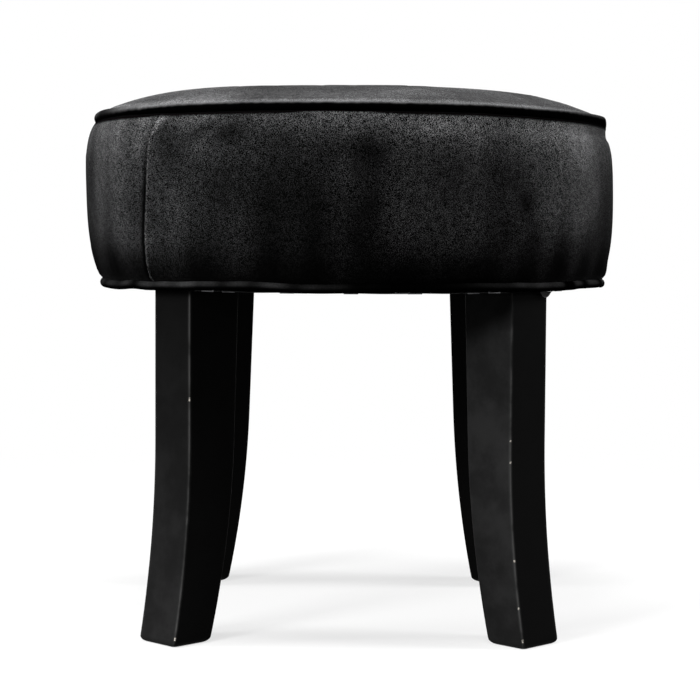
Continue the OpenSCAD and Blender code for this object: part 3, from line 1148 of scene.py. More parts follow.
@dataclass
class Crown:
    """The velvet top panel: crowned, softly uneven, gathered a little where it meets the piping.

    Attributes:
        form: The seat's outlines.
        rings: Rings of faces from the middle to the edge.
        columns: Faces round the seat.
        settling: How the cover settles.
        lump: Height of the padding's lumps.
        gather: Height of the gathers at the edge.
        plain_nap: How far the pile lies over.
        stroke_nap: How much more or less it does where hands have stroked it.
        edge_highlight: Painted highlight along the edge, just above the piping.
        left_light: Painted light towards the left.
        right_paleness: How much paler it is towards the right.
        evenness: How even the pile looks, from 0 for grainy to 1 for smooth.
    """

    form: SeatForm
    rings: int = 96
    columns: int = 640
    settling: Settling = Settling(spare=0.012, cap=0.3 * MM)
    lump: float = 0.16 * MM
    gather: float = 0.05 * MM
    plain_nap: float = 0.68
    stroke_nap: float = 0.12
    edge_highlight: float = 0.8
    left_light: float = 0.17
    right_paleness: float = 0.15
    evenness: float = 0.45

    def build(self, finishes: Finishes) -> bpy.types.Object:
        """Builds and dresses the panel.

        Args:
            finishes: The stool's finishes.

        Returns:
            The panel.
        """
        form = self.form
        velvet = form.velvet
        angles = even_angles(self.columns)
        ones = np.ones(self.columns)
        turn_r = form.edge_r - velvet
        share = np.linspace(0.012, 1.0, self.rings)
        r_out = (turn_r * np.sin(share * math.pi / 2) ** 0.9)[:, None]
        rise = self.relief(r_out, angles) + self.settle(r_out, angles)
        tops = form.dome(r_out) + rise
        z_edge = float(form.dome(np.array(turn_r)))
        lip = np.array([(form.edge_r - velvet / 3, z_edge - velvet / 4), (form.edge_r, z_edge - velvet),
                        (form.edge_r, form.tab_z + 4 * MM), (form.edge_r, form.tab_z), (turn_r, form.tab_z),
                        (turn_r, z_edge - 2.5 * velvet)])
        inner = np.arange(self.rings - 1, 0, -6)
        radii = np.concatenate([r_out * ones, lip[:, :1] * ones, r_out[inner] * ones])
        heights = np.concatenate([tops, lip[:, 1:] * ones, tops[inner] - velvet])
        radii, heights = form.settled(radii, heights, angles)
        pile_and_painted_light = self.pile_and_painted_light(radii, angles)
        marks = {"pile_and_painted_light": [pile_and_painted_light], "even": [np.full(pile_and_painted_light.shape, self.evenness)]}
        piece = lathe("crown_velvet", [(radii, heights)], angles, poles=True, marks=marks)
        install(piece, Slot.VELVET, finishes, "top_panel")
        return piece

    def relief(self, r: Array, angles: Array) -> Array:
        """Unevenness of the padding under the crown.

        Args:
            r: Radii, as a column.
            angles: Angles round the seat.

        Returns:
            The height to add at each radius and angle.
        """
        lumps = Unevenness(21, 9, (1, 6), 4.0)
        gathers = Unevenness(22, 16, (36, 110))
        from_edge = self.form.edge_r - r
        free = rising(r, 0.0, 80 * MM) * rising(from_edge, 0.0, 12 * MM)
        near = np.exp(-from_edge / (9 * MM)) * rising(from_edge, 0.0, 2.5 * MM)
        return free * lumps.at(angles, r) * self.lump + near * gathers.at(angles) * self.gather

    def settle(self, r: Array, angles: Array) -> Array:
        """Lets the velvet settle over the padding.

        Args:
            r: Radii, as a column.
            angles: Angles round the seat.

        Returns:
            The height to add at each radius and angle.
        """
        rows, columns, first_r = 44, 300, 40 * MM
        coarse_r = np.linspace(first_r, self.form.edge_r - self.form.velvet, rows)[:, None]
        turn = even_angles(columns)
        z = self.form.dome(coarse_r) + self.relief(coarse_r, turn)
        grid = np.stack([coarse_r * np.cos(turn), coarse_r * np.sin(turn), z], axis=-1)
        moved = self.settling.run(grid, (0, rows - 1))
        place = (r[:, 0] - first_r) / (coarse_r[1, 0] - first_r)
        return resample(moved, place, angles) * rising(r, first_r + 5 * MM, first_r + 35 * MM)

    def pile_and_painted_light(self, r: Array, angles: Array) -> Array:
        """Pile lying over, with a painted highlight at the edge, painted light at the left and a paler
        right.

        Args:
            r: Radii, as rows by columns.
            angles: Angles round the seat.

        Returns:
            The nap at each place.
        """
        strokes = Unevenness(23, 12, (2, 9), 30.0)
        pile_and_painted_light = self.plain_nap + self.stroke_nap * strokes.at(angles, r)
        # Painted highlight along the crown's edge, just above the piping.
        pile_and_painted_light = pile_and_painted_light + self.edge_highlight * rising(r / self.form.edge_r, 0.95, 0.99)
        # Painted light towards the left, and paler towards the right.
        pile_and_painted_light = pile_and_painted_light + self.left_light * facing(angles, math.pi, 3) + self.right_paleness * facing(angles, 0.0, 1.5)
        return np.clip(pile_and_painted_light, 0, 2.0)


@dataclass
class Band:
    """The velvet side band, with its upright seam, its tab under the top piping and its stapled hem.

    Attributes:
        form: The seat's outlines.
        rows: Rows of faces between the pipings.
        columns: Faces round the seat, before those at the seam.
        seam_reach: Distance from the seam to which the faces are fine.
        seam_step: Width of a face there.
        settling: How the cover settles.
        hem: How far the hem reaches in under the base board.
        lump: Height of the padding's lumps.
        gather: Height of the gathers along both sewn edges.
        groove: Depth of the seam's groove.
        roll: Height of the soft roll to the right of it.
        left_roll: Height of the roll to the left of it.
        pucker: Height of the pucker.
        pucker_angle: Angle at which the pucker starts.
        lower_pile_and_light: How far the pile lies over above the foot, with painted shade at the foot.
        shoulder_pile_and_light: How much more it does near the top, partly as painted light.
        least_nap: How far it lies over at least.
        seam_highlight: Painted highlight on the roll beside the seam.
        seam_shade: Share of the colour that painted shade takes off the seam's left side.
        crease_shade: Share of the colour that painted shade takes off the groove's crease.
        evenness: How even the pile looks at the sides and the back, from 0 for grainy to 1 for smooth.
        patches: Where the pile is brushed differently, and where light and shade are painted.
    """

    form: SeatForm
    rows: int = 84
    columns: int = 520
    seam_reach: float = 15 * MM
    seam_step: float = 0.45 * MM
    settling: Settling = Settling(spare=0.01, cap=0.35 * MM)
    hem: float = 20 * MM
    lump: float = 0.35 * MM
    gather: float = 0.05 * MM
    groove: float = 0.7 * MM
    roll: float = 0.5 * MM
    left_roll: float = 0.25 * MM
    pucker: float = 0.6 * MM
    pucker_angle: float = math.radians(243)
    lower_pile_and_light: float = 0.22
    shoulder_pile_and_light: float = 0.42
    least_nap: float = 0.03
    seam_highlight: float = 0.42
    seam_shade: float = 0.72
    crease_shade: float = 0.9
    evenness: float = 0.42
    # Some spots are brushed pile; others are painted light and shade, such as the paler left end and right
    # half.
    patches: tuple[PileAndLightPatch, ...] = (
        PileAndLightPatch(204, 345, 7, 28, 0.18), PileAndLightPatch(204, 305, 7, 24, 0.09), PileAndLightPatch(213, 342, 6, 30, 0.32),
        PileAndLightPatch(214, 292, 6, 24, 0.16), PileAndLightPatch(223, 340, 5, 18, 0.28), PileAndLightPatch(228, 357, 7, 16, -0.31),
        PileAndLightPatch(242, 360, 8, 11, -0.51), PileAndLightPatch(254, 357, 7, 13, -0.2), PileAndLightPatch(270, 353, 10, 14, -0.37),
        PileAndLightPatch(287, 362, 5, 8, 0.52), PileAndLightPatch(294, 352, 11, 14, -0.02), PileAndLightPatch(315, 350, 7, 22, 0.07),
        PileAndLightPatch(327, 350, 10, 24, 0.78), PileAndLightPatch(318, 315, 7, 24, 0.31), PileAndLightPatch(326, 305, 6, 14, 0.28),
        PileAndLightPatch(320, 364, 6, 8, 0.6), PileAndLightPatch(332, 322, 4, 12, 0.32), PileAndLightPatch(230, 315, 5, 24, 0.09),
        PileAndLightPatch(257, 310, 14, 26, -0.13), PileAndLightPatch(270, 300, 5.5, 26, -0.13), PileAndLightPatch(247, 318, 6, 20, -0.06),
        PileAndLightPatch(224, 280, 7, 14, 0.14), PileAndLightPatch(286, 284, 10, 18, 0.08),
        PileAndLightPatch(304.5, 326, 2.4, 7, -0.08), PileAndLightPatch(307, 311, 2.2, 9, -0.25), PileAndLightPatch(303.5, 294, 2.4, 9, -0.08),
        PileAndLightPatch(310, 288, 2.2, 9, -0.08), PileAndLightPatch(241, 357, 2, 9, 0.16, 0.35),
        PileAndLightPatch(236, 352, 2, 10, -0.1, 0.35), PileAndLightPatch(20, 330, 10, 24, -0.15), PileAndLightPatch(70, 350, 12, 12, 0.2),
        PileAndLightPatch(120, 300, 10, 26, -0.15), PileAndLightPatch(150, 350, 12, 14, 0.2),
    )

    def angles(self) -> Array:
        """Angles of the columns, with fine ones at the seam.

        Returns:
            The angles, rising.
        """
        even = even_angles(self.columns)
        reach = self.seam_reach / self.form.seat_r
        fine = np.arange(-reach, reach, self.seam_step / self.form.seat_r) + self.form.seam_angle
        kept = even[np.abs(even - self.form.seam_angle) > reach]
        return np.sort(np.concatenate([kept, fine]))

    def seam_offset(self, z: Array, angles: Array) -> Array:
        """Distance of each place to the right of the seam's line, which bends off at both its ends.

        Args:
            z: Heights.
            angles: Angles round the seat.

        Returns:
            The distances, negative at the left.
        """
        share = self.form.share(z)
        bend = 8 * MM * rising(share, 0.8, 1.02) - 9 * MM * (1 - rising(share, 0.0, 0.62))
        wander = 0.7 * MM * np.sin(share * 9.0) + 0.25 * MM * np.sin(share * 120.0)
        return (angles - self.form.seam_angle) * self.form.seat_r - bend - wander

    def relief(self, z: Array, angles: Array) -> Array:
        """Unevenness of the padding, and small gathers along both sewn edges.

        Args:
            z: Heights, as a column.
            angles: Angles round the seat.

        Returns:
            The radius to add at each height and angle.
        """
        form = self.form
        lumps = Unevenness(31, 10, (2, 11), 5.0)
        gathers = Unevenness(32, 16, (46, 130))
        from_top = form.tuck_z - z
        from_bottom = z - form.rim_z[Rim.BOTTOM] - form.piping_r[Rim.BOTTOM]
        free = rising(from_top, 0.0, 16 * MM) * rising(from_bottom, 0.0, 16 * MM)
        near_top = np.exp(-from_top / (9 * MM)) * rising(from_top, 0.0, 3 * MM)
        near_bottom = np.exp(-np.maximum(from_bottom, 0) / (9 * MM)) * rising(from_bottom, 0.0, 4 * MM)
        gathered = (near_top + near_bottom) * gathers.at(angles, z * 0.4) * self.gather
        return free * lumps.at(angles, z) * self.lump + gathered

    def seam(self, z: Array, angles: Array) -> Array:
        """The sewn seam: a sharp groove with a soft roll at each side, and the pucker that starts near it.

        Args:
            z: Heights, as a column.
            angles: Angles round the seat.

        Returns:
            The radius to add at each height and angle.
        """
        form = self.form
        from_top = form.tuck_z - z
        from_bottom = z - form.rim_z[Rim.BOTTOM] - form.piping_r[Rim.BOTTOM]
        across = self.seam_offset(z, angles)
        ends = rising(from_top, 0.0, 2 * MM) * rising(from_bottom, 0.0, 5 * MM)
        section = -self.groove * bell(across / (0.9 * MM))
        section = section + self.roll * bell((across - 2.6 * MM) / (2.0 * MM))
        section = section + self.left_roll * bell((across + 3.0 * MM) / (2.4 * MM))
        aside = (angles - self.pucker_angle) * form.seat_r + from_top
        pucker = bell(aside / (4 * MM)) - 0.6 * bell((aside - 9 * MM) / (5 * MM))
        length = between(from_top, 0.0, 6 * MM, 14 * MM, 40 * MM)
        return ends * section + length * self.pucker * pucker

    def settle(self, z: Array, angles: Array) -> Array:
        """Lets the velvet settle over the padding.

        Args:
            z: Heights of the rows, falling.
            angles: Angles round the seat.

        Returns:
            The radius to add at each height and angle.
        """
        rows, columns = 32, 330
        coarse_z = np.linspace(z[0], z[-1], rows)[:, None]
        turn = even_angles(columns)
        r = self.form.band(coarse_z) + self.relief(coarse_z, turn)
        grid = np.stack([r * np.cos(turn), r * np.sin(turn), coarse_z * np.ones(columns)], axis=-1)
        moved = self.settling.run(grid[::-1], (0, rows - 1))[::-1]
        place = (z - z[0]) / (z[-1] - z[0]) * (rows - 1)
        return resample(moved, place, angles)

    def pile_and_painted_light(self, z: Array, angles: Array) -> Array:
        """Pile lying over, with painted light towards the top and painted shade at the foot, rim and seam.

        Args:
            z: Heights, as rows by columns.
            angles: Angles round the seat.

        Returns:
            How far the pile lies over at each place, with the painted light and shade.
        """
        share = self.form.share(z)
        across = self.seam_offset(z, angles)
        # Paler towards the top and darker towards the foot: partly pile lying over, partly painted light
        # and shade.
        level = self.lower_pile_and_light * rising(share, 0.03, 0.43) + self.shoulder_pile_and_light * rising(share, 0.64, 0.92)
        clouds = Unevenness(33, 16, (9, 44), 7.0)
        level = level + (0.03 + 0.05 * level) * clouds.at(angles, z)
        for patch in self.patches:
            level = level + patch.at(z, angles) * rising(share, 0.05, 0.3)
        level = self.least_nap * np.logaddexp(0, level / self.least_nap)
        # Painted highlight on the roll right of the seam, and painted shade beside the seam.
        level = (level + self.seam_light(share, across)) * self.painted_shade_beside_seam(share, across)
        # Painted shade in a strip just under the top piping.
        dark = self.painted_shade_under_rim(angles)
        return np.clip(level * rising(self.form.tuck_z - z, dark, dark + 0.9 * MM), 0.0, 1.8)

    def painted_shade_under_rim(self, angles: Array) -> Array:
        """Distance below the band's top edge over which painted shade stands for the top piping's shadow.

        Args:
            angles: Angles round the seat.

        Returns:
            The distance at each angle.
        """
        front = Hump(267, 9, 1.5 * MM, power=4)
        left = 0.9 * MM * between(np.degrees(angles), 60, 120, 214, 228)
        return 1.7 * MM - front.at(angles) + left

    def seam_light(self, share: Array, across: Array) -> Array:
        """Painted highlight on the roll beside the seam, beaded along the stitches and wider at its head.

        Args:
            share: Heights, as shares of the band's height.
            across: Distances to the right of the seam.

        Returns:
            The painted highlight to add at each place.
        """
        head = rising(share, 0.84, 0.92)
        aside = (across - (2.0 + 2.6 * head) * MM) / ((1.1 + 2.3 * head) * MM)
        stitch = (0.75 + 0.25 * np.sin(share * 170.0)) * (1 + 2 * head)
        return self.seam_highlight * stitch * bell(aside)

    def painted_shade_beside_seam(self, share: Array, across: Array) -> Array:
        """Painted shade beside the seam: darker at its left, and almost black in its lower crease.

        Args:
            share: Heights, as shares of the band's height.
            across: Distances to the right of the seam.

        Returns:
            The share of the colour that the painted shade leaves at each place.
        """
        left = 1 - rising(across, 0.0, 0.8 * MM)
        shade = left * bell(np.minimum(across, 0) / (5.5 * MM)) * (1 - 0.6 * rising(share, 0.7, 0.9))
        crease = bell((across + 1.2 * MM) / (1.3 * MM)) * (1 - rising(share, 0.55, 0.7))
        return (1 - self.seam_shade * shade) * (1 - self.crease_shade * crease)

    def build(self, finishes: Finishes) -> bpy.types.Object:
        """Builds and dresses the band.

        Args:
            finishes: The stool's finishes.

        Returns:
            The band.
        """
        form = self.form
        angles = self.angles()
        ones = np.ones(len(angles))
        velvet = form.velvet
        rim_r, rim_z = form.rim_r[Rim.BOTTOM], form.rim_z[Rim.BOTTOM]
        hug = form.piping_r[Rim.BOTTOM] + 0.08 * MM
        tab_r = form.rim_r[Rim.TOP] - form.piping_r[Rim.TOP] + 2 * velvet + 0.05 * MM
        low_z = rim_z + form.piping_r[Rim.BOTTOM] + 3 * velvet
        high_z = form.tuck_z - velvet / 3
        share = np.linspace(0, 1, self.rows)
        side_z = high_z + (low_z - high_z) * (share - 0.06 * np.sin(2 * math.pi * share))
        rise = self.relief(side_z[:, None], angles) + self.settle(side_z, angles)
        rise = rise + self.seam(side_z[:, None], angles)
        turn = np.radians(np.arange(70, 181, 10))
        tuck_r = float(form.band(np.array(form.tuck_z))) - velvet
        hem_r, hem_top = form.board_r - self.hem, form.base_z - 0.02 * MM
        start = [(tab_r, form.tab_z), (tab_r, form.tuck_z - 2 * MM), (tab_r, form.tuck_z),
                 (tuck_r, form.tuck_z)]
        under = [(rim_r + hug * math.cos(a), rim_z + hug * math.sin(a)) for a in turn]
        under += [(form.board_r, rim_z), (hem_r, rim_z), (hem_r, hem_top)]
        under += [(form.board_r + 0.2 * MM, hem_top)]
        under += [(rim_r + (hug + velvet) * math.cos(a), rim_z + (hug + velvet) * math.sin(a))
                  for a in turn[-2::-1]]
        back = np.arange(self.rows - 1, -1, -4)
        finish = [(tuck_r - 0.6 * velvet, form.tuck_z - velvet), (tab_r + velvet, form.tuck_z - velvet),
                  (tab_r + velvet, form.tab_z)]
        side_r = form.band(side_z)[:, None] + rise
        radii = np.concatenate([column(start, 0) * ones, side_r, column(under, 0) * ones,
                                side_r[back] - velvet, column(finish, 0) * ones])
        heights = np.concatenate([column(start, 1) * ones, side_z[:, None] * ones, column(under, 1) * ones,
                                  side_z[back][:, None] * ones, column(finish, 1) * ones])
        pile_and_painted_light = self.pile_and_painted_light(heights, angles)
        grained = between(np.degrees(angles), 206, 220, 314, 332)
        even = np.ones(heights.shape) * self.evenness * (1 - grained)
        radii, heights = form.settled(radii, heights, angles)
        piece = lathe("band_velvet", [(radii, heights)], angles, marks={"pile_and_painted_light": [pile_and_painted_light], "even": [even]})
        install(piece, Slot.VELVET, finishes, "side_band")
        return piece


def column(points: list[tuple[float, float]], axis: int) -> Array:
    """One coordinate of a list of points, as a column."""
    return np.array(points)[:, axis:axis + 1]


@dataclass
class Piping:
    """A piping: its twisted cord, and the velvet sleeve round it with its flange.

    Attributes:
        form: The seat's outlines.
        rim: Which rim it edges.
        columns: Faces round the seat.
        around: Faces round the cord.
        end_fullness: How much fuller the top piping is at its left and right ends.
        end_droop: How much more of that hangs down.
        ends: Where the two ends are.
        flange: How far the bottom piping's flange reaches in under the base board.
        strand_lay: Length of one turn of the cord's strands.
        evenness: How even the pile looks, from 0 for grainy to 1 for smooth.
    """

    form: SeatForm
    rim: Rim
    columns: int = 900
    around: int = 30
    end_fullness: float = 0.22
    end_droop: float = 2.4
    ends: tuple[Hump, ...] = (Hump(192, 20), Hump(346, 22))
    flange: float = 18 * MM
    strand_lay: float = 14 * MM
    evenness: float = 0.85

    def section(self) -> Array:
        """Points of the sleeve's outside, flange included, as radius and height.

        Returns:
            One row a point, first round the cord and then round the flange's end.
        """
        form, rim = self.form, self.rim
        r, z, size = form.rim_r[rim], form.rim_z[rim], form.piping_r[rim]
        if rim is Rim.TOP:
            first, end = -113, [(r - size, form.tab_z), (r - size + 2 * form.velvet, form.tab_z)]
        else:
            flange_r = form.board_r - self.flange
            first, end = -143, [(flange_r, z), (flange_r, z - 2 * form.velvet)]
        turn = np.radians(np.linspace(first, 180, self.around))
        return np.array([(r + size * math.cos(a), z + size * math.sin(a)) for a in turn] + end)

    def build(self, finishes: Finishes) -> list[bpy.types.Object]:
        """Builds and dresses the sleeve and its cord.

        Args:
            finishes: The stool's finishes.

        Returns:
            The two pieces.
        """
        form, name = self.form, self.rim.value
        angles = even_angles(self.columns)
        middle_r, middle_z, size = form.rim_r[self.rim], form.rim_z[self.rim], form.piping_r[self.rim]
        away = self.section() - (middle_r, middle_z)
        out, up = away[:, :1], away[:, 1:]
        on_cord = (np.hypot(out, up) < 1.05 * size).astype(float)
        grown = 1 + on_cord * self.swell(angles)
        full = 0.0
        if self.rim is Rim.TOP:
            at_ends = sum(end.at(angles) for end in self.ends)
            full = self.end_fullness * at_ends * np.clip(out / size + 0.3, 0, 1)
        tall = grown + full * (1 + self.end_droop * np.clip(-up / size, 0, 1) * on_cord)
        outside = form.settled(middle_r + out * (grown + full), middle_z + up * tall, angles)
        turn = np.radians(np.arange(0, 360, 20))[:, None]
        hollow = (form.cord_r[self.rim] + 0.04 * MM) * np.ones(self.columns)
        inside = form.settled(middle_r + hollow * np.cos(turn), middle_z + hollow * np.sin(turn), angles)
        pile_and_painted_light = self.pile_and_painted_light(away, angles)
        none = np.zeros(inside[0].shape)
        marks = {"pile_and_painted_light": [pile_and_painted_light, none], "even": [np.full(pile_and_painted_light.shape, self.evenness), none]}
        sleeve = lathe(f"{name}_piping_velvet", [outside, inside], angles, marks=marks)
        install(sleeve, Slot.VELVET, finishes, f"{name}_piping_sleeve", own=finishes.piping)
        return [sleeve, self.twist_cord(finishes)]

    def swell(self, angles: Array) -> Array:
        """How much thicker the cord is at each angle, as a share.

        Args:
            angles: Angles round the seat.

        Returns:
            The share at each angle.
        """
        seed = 41 if self.rim is Rim.TOP else 43
        slow, quick = Unevenness(seed, 9, (6, 34)), Unevenness(seed + 1, 12, (90, 240))
        return 0.010 * slow.at(angles) + 0.007 * quick.at(angles) - 0.012

    def pile_and_painted_light(self, away: Array, angles: Array) -> Array:
        """Painted highlight: a line along the top of the top piping, patchy on the top of the bottom one.

        Args:
            away: The section's points from the cord's middle.
            angles: Angles round the seat.

        Returns:
            The painted highlight at each point of the sleeve.
        """
        turn = np.degrees(np.arctan2(away[:, 1:], away[:, :1]))
        # Top piping: a painted highlight along the top of the roll, fainter at the sides.
        if self.rim is Rim.TOP:
            side = 1 - Stretch(270, 66, 22).at(angles)
            reach = 52 * between(np.degrees(angles), 60, 120, 208, 238)
            reach = reach + 16 * Stretch(342, 22, 10).at(angles)
            ragged = 2.2 * Unevenness(47, 24, (40, 200)).at(angles)
            line = rising(turn + reach + ragged, 24, 74) * (1 - rising(turn, 110, 140))
            clouds = 0.22 * Unevenness(45, 8, (3, 14)).at(angles)
            return line * (1.05 - side * (0.55 + 0.05 * np.cos(angles)) + clouds)
        # Bottom piping: a painted highlight on the top of the roll, left out as painted shade at the front
        # and near the left end.
        bare, tip = Hump(283, 20, power=4).at(angles), Hump(200, 8, 0.5).at(angles)
        mottle = 0.08 * Unevenness(46, 14, (9, 60)).at(angles)
        level = 0.18 - 0.08 * Stretch(348, 36, 12).at(angles) + mottle
        return np.maximum(0, between(turn, -30, 20, 100, 130) * (1 - bare) * (1 - tip) * level)

    def twist_cord(self, finishes: Finishes) -> bpy.types.Object:
        """Builds and dresses the three-strand cord.

        Args:
            finishes: The stool's finishes.

        Returns:
            The cord.
        """
        form = self.form
        angles = even_angles(self.columns)
        middle_r, middle_z = form.rim_r[self.rim], form.rim_z[self.rim]
        turn = np.radians(np.arange(0, 360, 15))[:, None]
        turns = round(2 * math.pi * middle_r / self.strand_lay)
        size = form.cord_r[self.rim] * (0.93 + 0.06 * np.cos(3 * turn + turns * angles))
        loop = form.settled(middle_r + size * np.cos(turn), middle_z + size * np.sin(turn), angles)
        cord = lathe(f"{self.rim.value}_piping_cotton", [loop], angles)
        install(cord, Slot.CORD, finishes, f"{self.rim.value}_piping_cord")
        return cord


@dataclass
class Padding:
    """The foam and wadding under the velvet, with softly rounded edges.

    Attributes:
        form: The seat's outlines.
        columns: Faces round the seat.
        ease: Radius of the cut edges.
    """

    form: SeatForm
    columns: int = 240
    ease: float = 2.5 * MM

    def build(self, finishes: Finishes) -> list[bpy.types.Object]:
        """Builds and dresses the foams and the wadding.

        Args:
            finishes: The stool's finishes.

        Returns:
            The three pieces.
        """
        pieces = [
            self.crown_layer("crown_foam", "top_foam", Slot.FOAM, 7.6 * MM, None, finishes),
            self.crown_layer("crown_wadding", "top_wadding", Slot.WADDING, 3.2 * MM, 3.6 * MM, finishes),
            self.wrap(finishes),
        ]
        return pieces

    def crown_layer(self, name: str, node: str, slot: Slot, depth: float, thickness: float | None,
                    finishes: Finishes) -> bpy.types.Object:
        """Builds one layer under the crown.

        Args:
            name: The piece's name.
            node: The CAD node that it stands for.
            slot: Its material slot.
            depth: Distance of its top below the velvet's outer surface.
            thickness: Its thickness, or None where it lies flat on the seat board.
            finishes: The stool's finishes.

        Returns:
            The layer.
        """
        low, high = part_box(node)
        edge = high.x - 0.5 * MM
        ease = self.ease if thickness is None else thickness / 2
        r_top = np.minimum(edge * np.linspace(0.02, 1.0, 50), edge - ease)
        top = self.form.dome(r_top) - depth
        under = np.full(50, low.z) if thickness is None else top[::-1] - thickness
        turn = np.radians(np.arange(75, -76, -30))
        z_top = top[-1] - ease
        z_low = z_top if thickness is not None else low.z + ease
        corner = [(edge - ease * (1 - math.cos(a)), (z_top if a > 0 else z_low) + ease * math.sin(a))
                  for a in turn]
        radii = np.concatenate([r_top[:, None], column(corner, 0), r_top[::-1][:, None]])
        heights = np.concatenate([top[:, None], column(corner, 1), under[:, None]])
        angles = even_angles(self.columns)
        ones = np.ones(self.columns)
        radii, heights = self.form.settled(radii * ones, heights * ones, angles)
        piece = lathe(name, [(radii, heights)], angles, poles=True)
        install(piece, slot, finishes, node)
        return piece

    def wrap(self, finishes: Finishes) -> bpy.types.Object:
        """Builds the foam round the drum's wall.

        Args:
            finishes: The stool's finishes.

        Returns:
            The foam.
        """
        form = self.form
        low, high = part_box("side_foam")
        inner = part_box("drum_wall")[1].x + 0.9 * MM
        z = np.linspace(low.z + 5 * MM, high.z - 3.6 * MM, 60)
        skin = form.velvet + 2.6 * MM
        notch_r = form.rim_r[Rim.TOP] + 0.6 * MM
        section = [(inner, low.z + 0.4 * MM)] + list(zip(form.band(z) - skin, z))
        section += [(notch_r, form.tab_z - 0.8 * MM), (inner, form.tab_z - 0.8 * MM)]
        section = [point for point in section if point[1] <= form.tab_z or point[0] >= notch_r]
        angles = even_angles(self.columns)
        ones = np.ones(self.columns)
        loop = form.settled(column(section, 0) * ones, column(section, 1) * ones, angles)
        piece = lathe("wrap_foam", [loop], angles)
        install(piece, Slot.FOAM, finishes, "side_foam")
        return piece


@dataclass
class DustCover:
    """The thin black cloth stapled under the seat, which sags a little, with a fold beside one leg.

    Attributes:
        thickness: Thickness of the cloth.
        sag: How far its middle hangs.
        crease: Height of its creases.
        scallop: How far its rim hangs between two pulls.
        scallops: How many times it does so round the seat.
        rings: Rings of faces.
        columns: Faces round the seat.
        fold_start: Where the fold starts, seen from above.
        fold_end: Where it ends.
        fold_drop: How far it hangs.
        fold_out: How far it stands out.
    """

    thickness: float = 0.45 * MM
    sag: float = 2.2 * MM
    crease: float = 0.3 * MM
    scallop: float = 0.35 * MM
    scallops: int = 24
    rings: int = 60
    columns: int = 360
    fold_start: tuple[float, float] = (133.5 * MM, -121.5 * MM)
    fold_end: tuple[float, float] = (142.5 * MM, -111.5 * MM)
    fold_drop: float = 3.8 * MM
    fold_out: float = 1.2 * MM

    def build(self, finishes: Finishes) -> bpy.types.Object:
        """Builds and dresses the cloth.

        Args:
            finishes: The stool's finishes.

        Returns:
            The cloth.
        """
        low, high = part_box("dust_cover")
        angles = even_angles(self.columns)
        r = (high.x * np.linspace(0.015, 1.0, self.rings))[:, None]
        creases = Unevenness(51, 10, (4, 23), 6.0).at(angles, r)
        creases = creases * between(r, 0.0, 50 * MM, 75 * MM, 125 * MM)
        scallops = (1 - np.cos(self.scallops * angles)) / 2 * rising(r, 158 * MM, 170 * MM)
        under = low.z + 0.02 * MM - self.sag * (1 - rising(r, 30 * MM, 120 * MM))
        under = under + self.crease * creases - self.scallop * scallops
        radii = np.concatenate([r, r[::-1]]) * np.ones(self.columns)
        heights = np.concatenate([under + self.thickness, under[::-1]])
        piece = lathe("dust_cover_cloth", [(radii, heights)], angles, poles=True)
        install(piece, Slot.DUST_CLOTH, finishes, "dust_cover")
        fold = self.fold(low.z, finishes)
        return piece

    def fold(self, level: float, finishes: Finishes) -> bpy.types.Object:
        """Builds the scrap of cloth that is folded under beside the front right leg.

        Args:
            level: Height of the seat's underside.
            finishes: The stool's finishes.

        Returns:
            The fold.
        """
        steps = 10
        start, end = Vector((*self.fold_start, level)), Vector((*self.fold_end, level))
        rows = []
        for i in range(steps + 1):
            t = i / steps
            across = start.lerp(end, t)
            drop = self.fold_drop * math.sin(math.pi * min(1.0, t * 1.15) ** 0.8) + 0.3 * MM
            hang = Vector((0, 0, -drop))
            out = Vector((0.7, -0.7, 0.0)) * (self.fold_out * math.sin(math.pi * t))
            rows.append([across, across + out * 0.7 + hang * 0.6, across + out + hang])
        normal = Vector((0.7, -0.7, 0.2)).normalized() * (self.thickness / 2)
        points = [p + normal * side for side in (1, -1) for row in rows for p in row]
        count = 3 * (steps + 1)
        faces: Faces = []
        for i in range(steps):
            for j in range(2):
                a = 3 * i + j
                faces.append((a, a + 1, a + 4, a + 3))
                faces.append((count + a, count + a + 3, count + a + 4, count + a + 1))
            for a in (3 * i, 3 * i + 2):
                quad = (a, a + 3, count + a + 3, count + a)
                faces.append(quad if a % 3 == 0 else quad[::-1])
        for a in (0, 3 * steps):
            for j in range(2):
                quad = (a + j, count + a + j, count + a + j + 1, a + j + 1)
                faces.append(quad if a == 0 else quad[::-1])
        piece = make_object("dust_cover_fold", np.array([list(p) for p in points]), faces, 60.0)
        install(piece, Slot.DUST_CLOTH, finishes, own=finishes.lining)
        return piece


# The legs


class Corner(Enum):
    """The four legs, with their angles round the seat in degrees."""

    FRONT_LEFT = 225
    FRONT_RIGHT = 315
    BACK_LEFT = 135
    BACK_RIGHT = 45

    @property
    def node(self) -> str:
        """Name of the leg's CAD node."""
        return f"{self.name.lower()}_leg"


@dataclass(frozen=True)
class Chip:
    """A place where the lacquer has broken off an arris.

    Attributes:
        z: Its height above the floor.
        side: Side of the outer face: 1 or -1.
        reach: Half its length.
    """

    z: float
    side: int
    reach: float


@dataclass(frozen=True)
class Make:
    """How one leg came off the saw, how its lacquer has worn, and the painted light on its faces.

    Attributes:
        top: Depth at the top.
        knee: Depth where the curve begins.
        heel: Depth at the floor.
        sides: Painted light on its sides, paler where they face the light.
        outside: Painted light on its outer face at the top.
        foot: Painted light on its outer face at the floor.
        arris: How far its outer arrises are rubbed, and how bright their painted highlight is.
        chips: Where it is chipped.
    """

    top: float
    knee: float
    heel: float
    sides: float
    outside: float
    foot: float
    arris: float
    chips: tuple[Chip, ...]


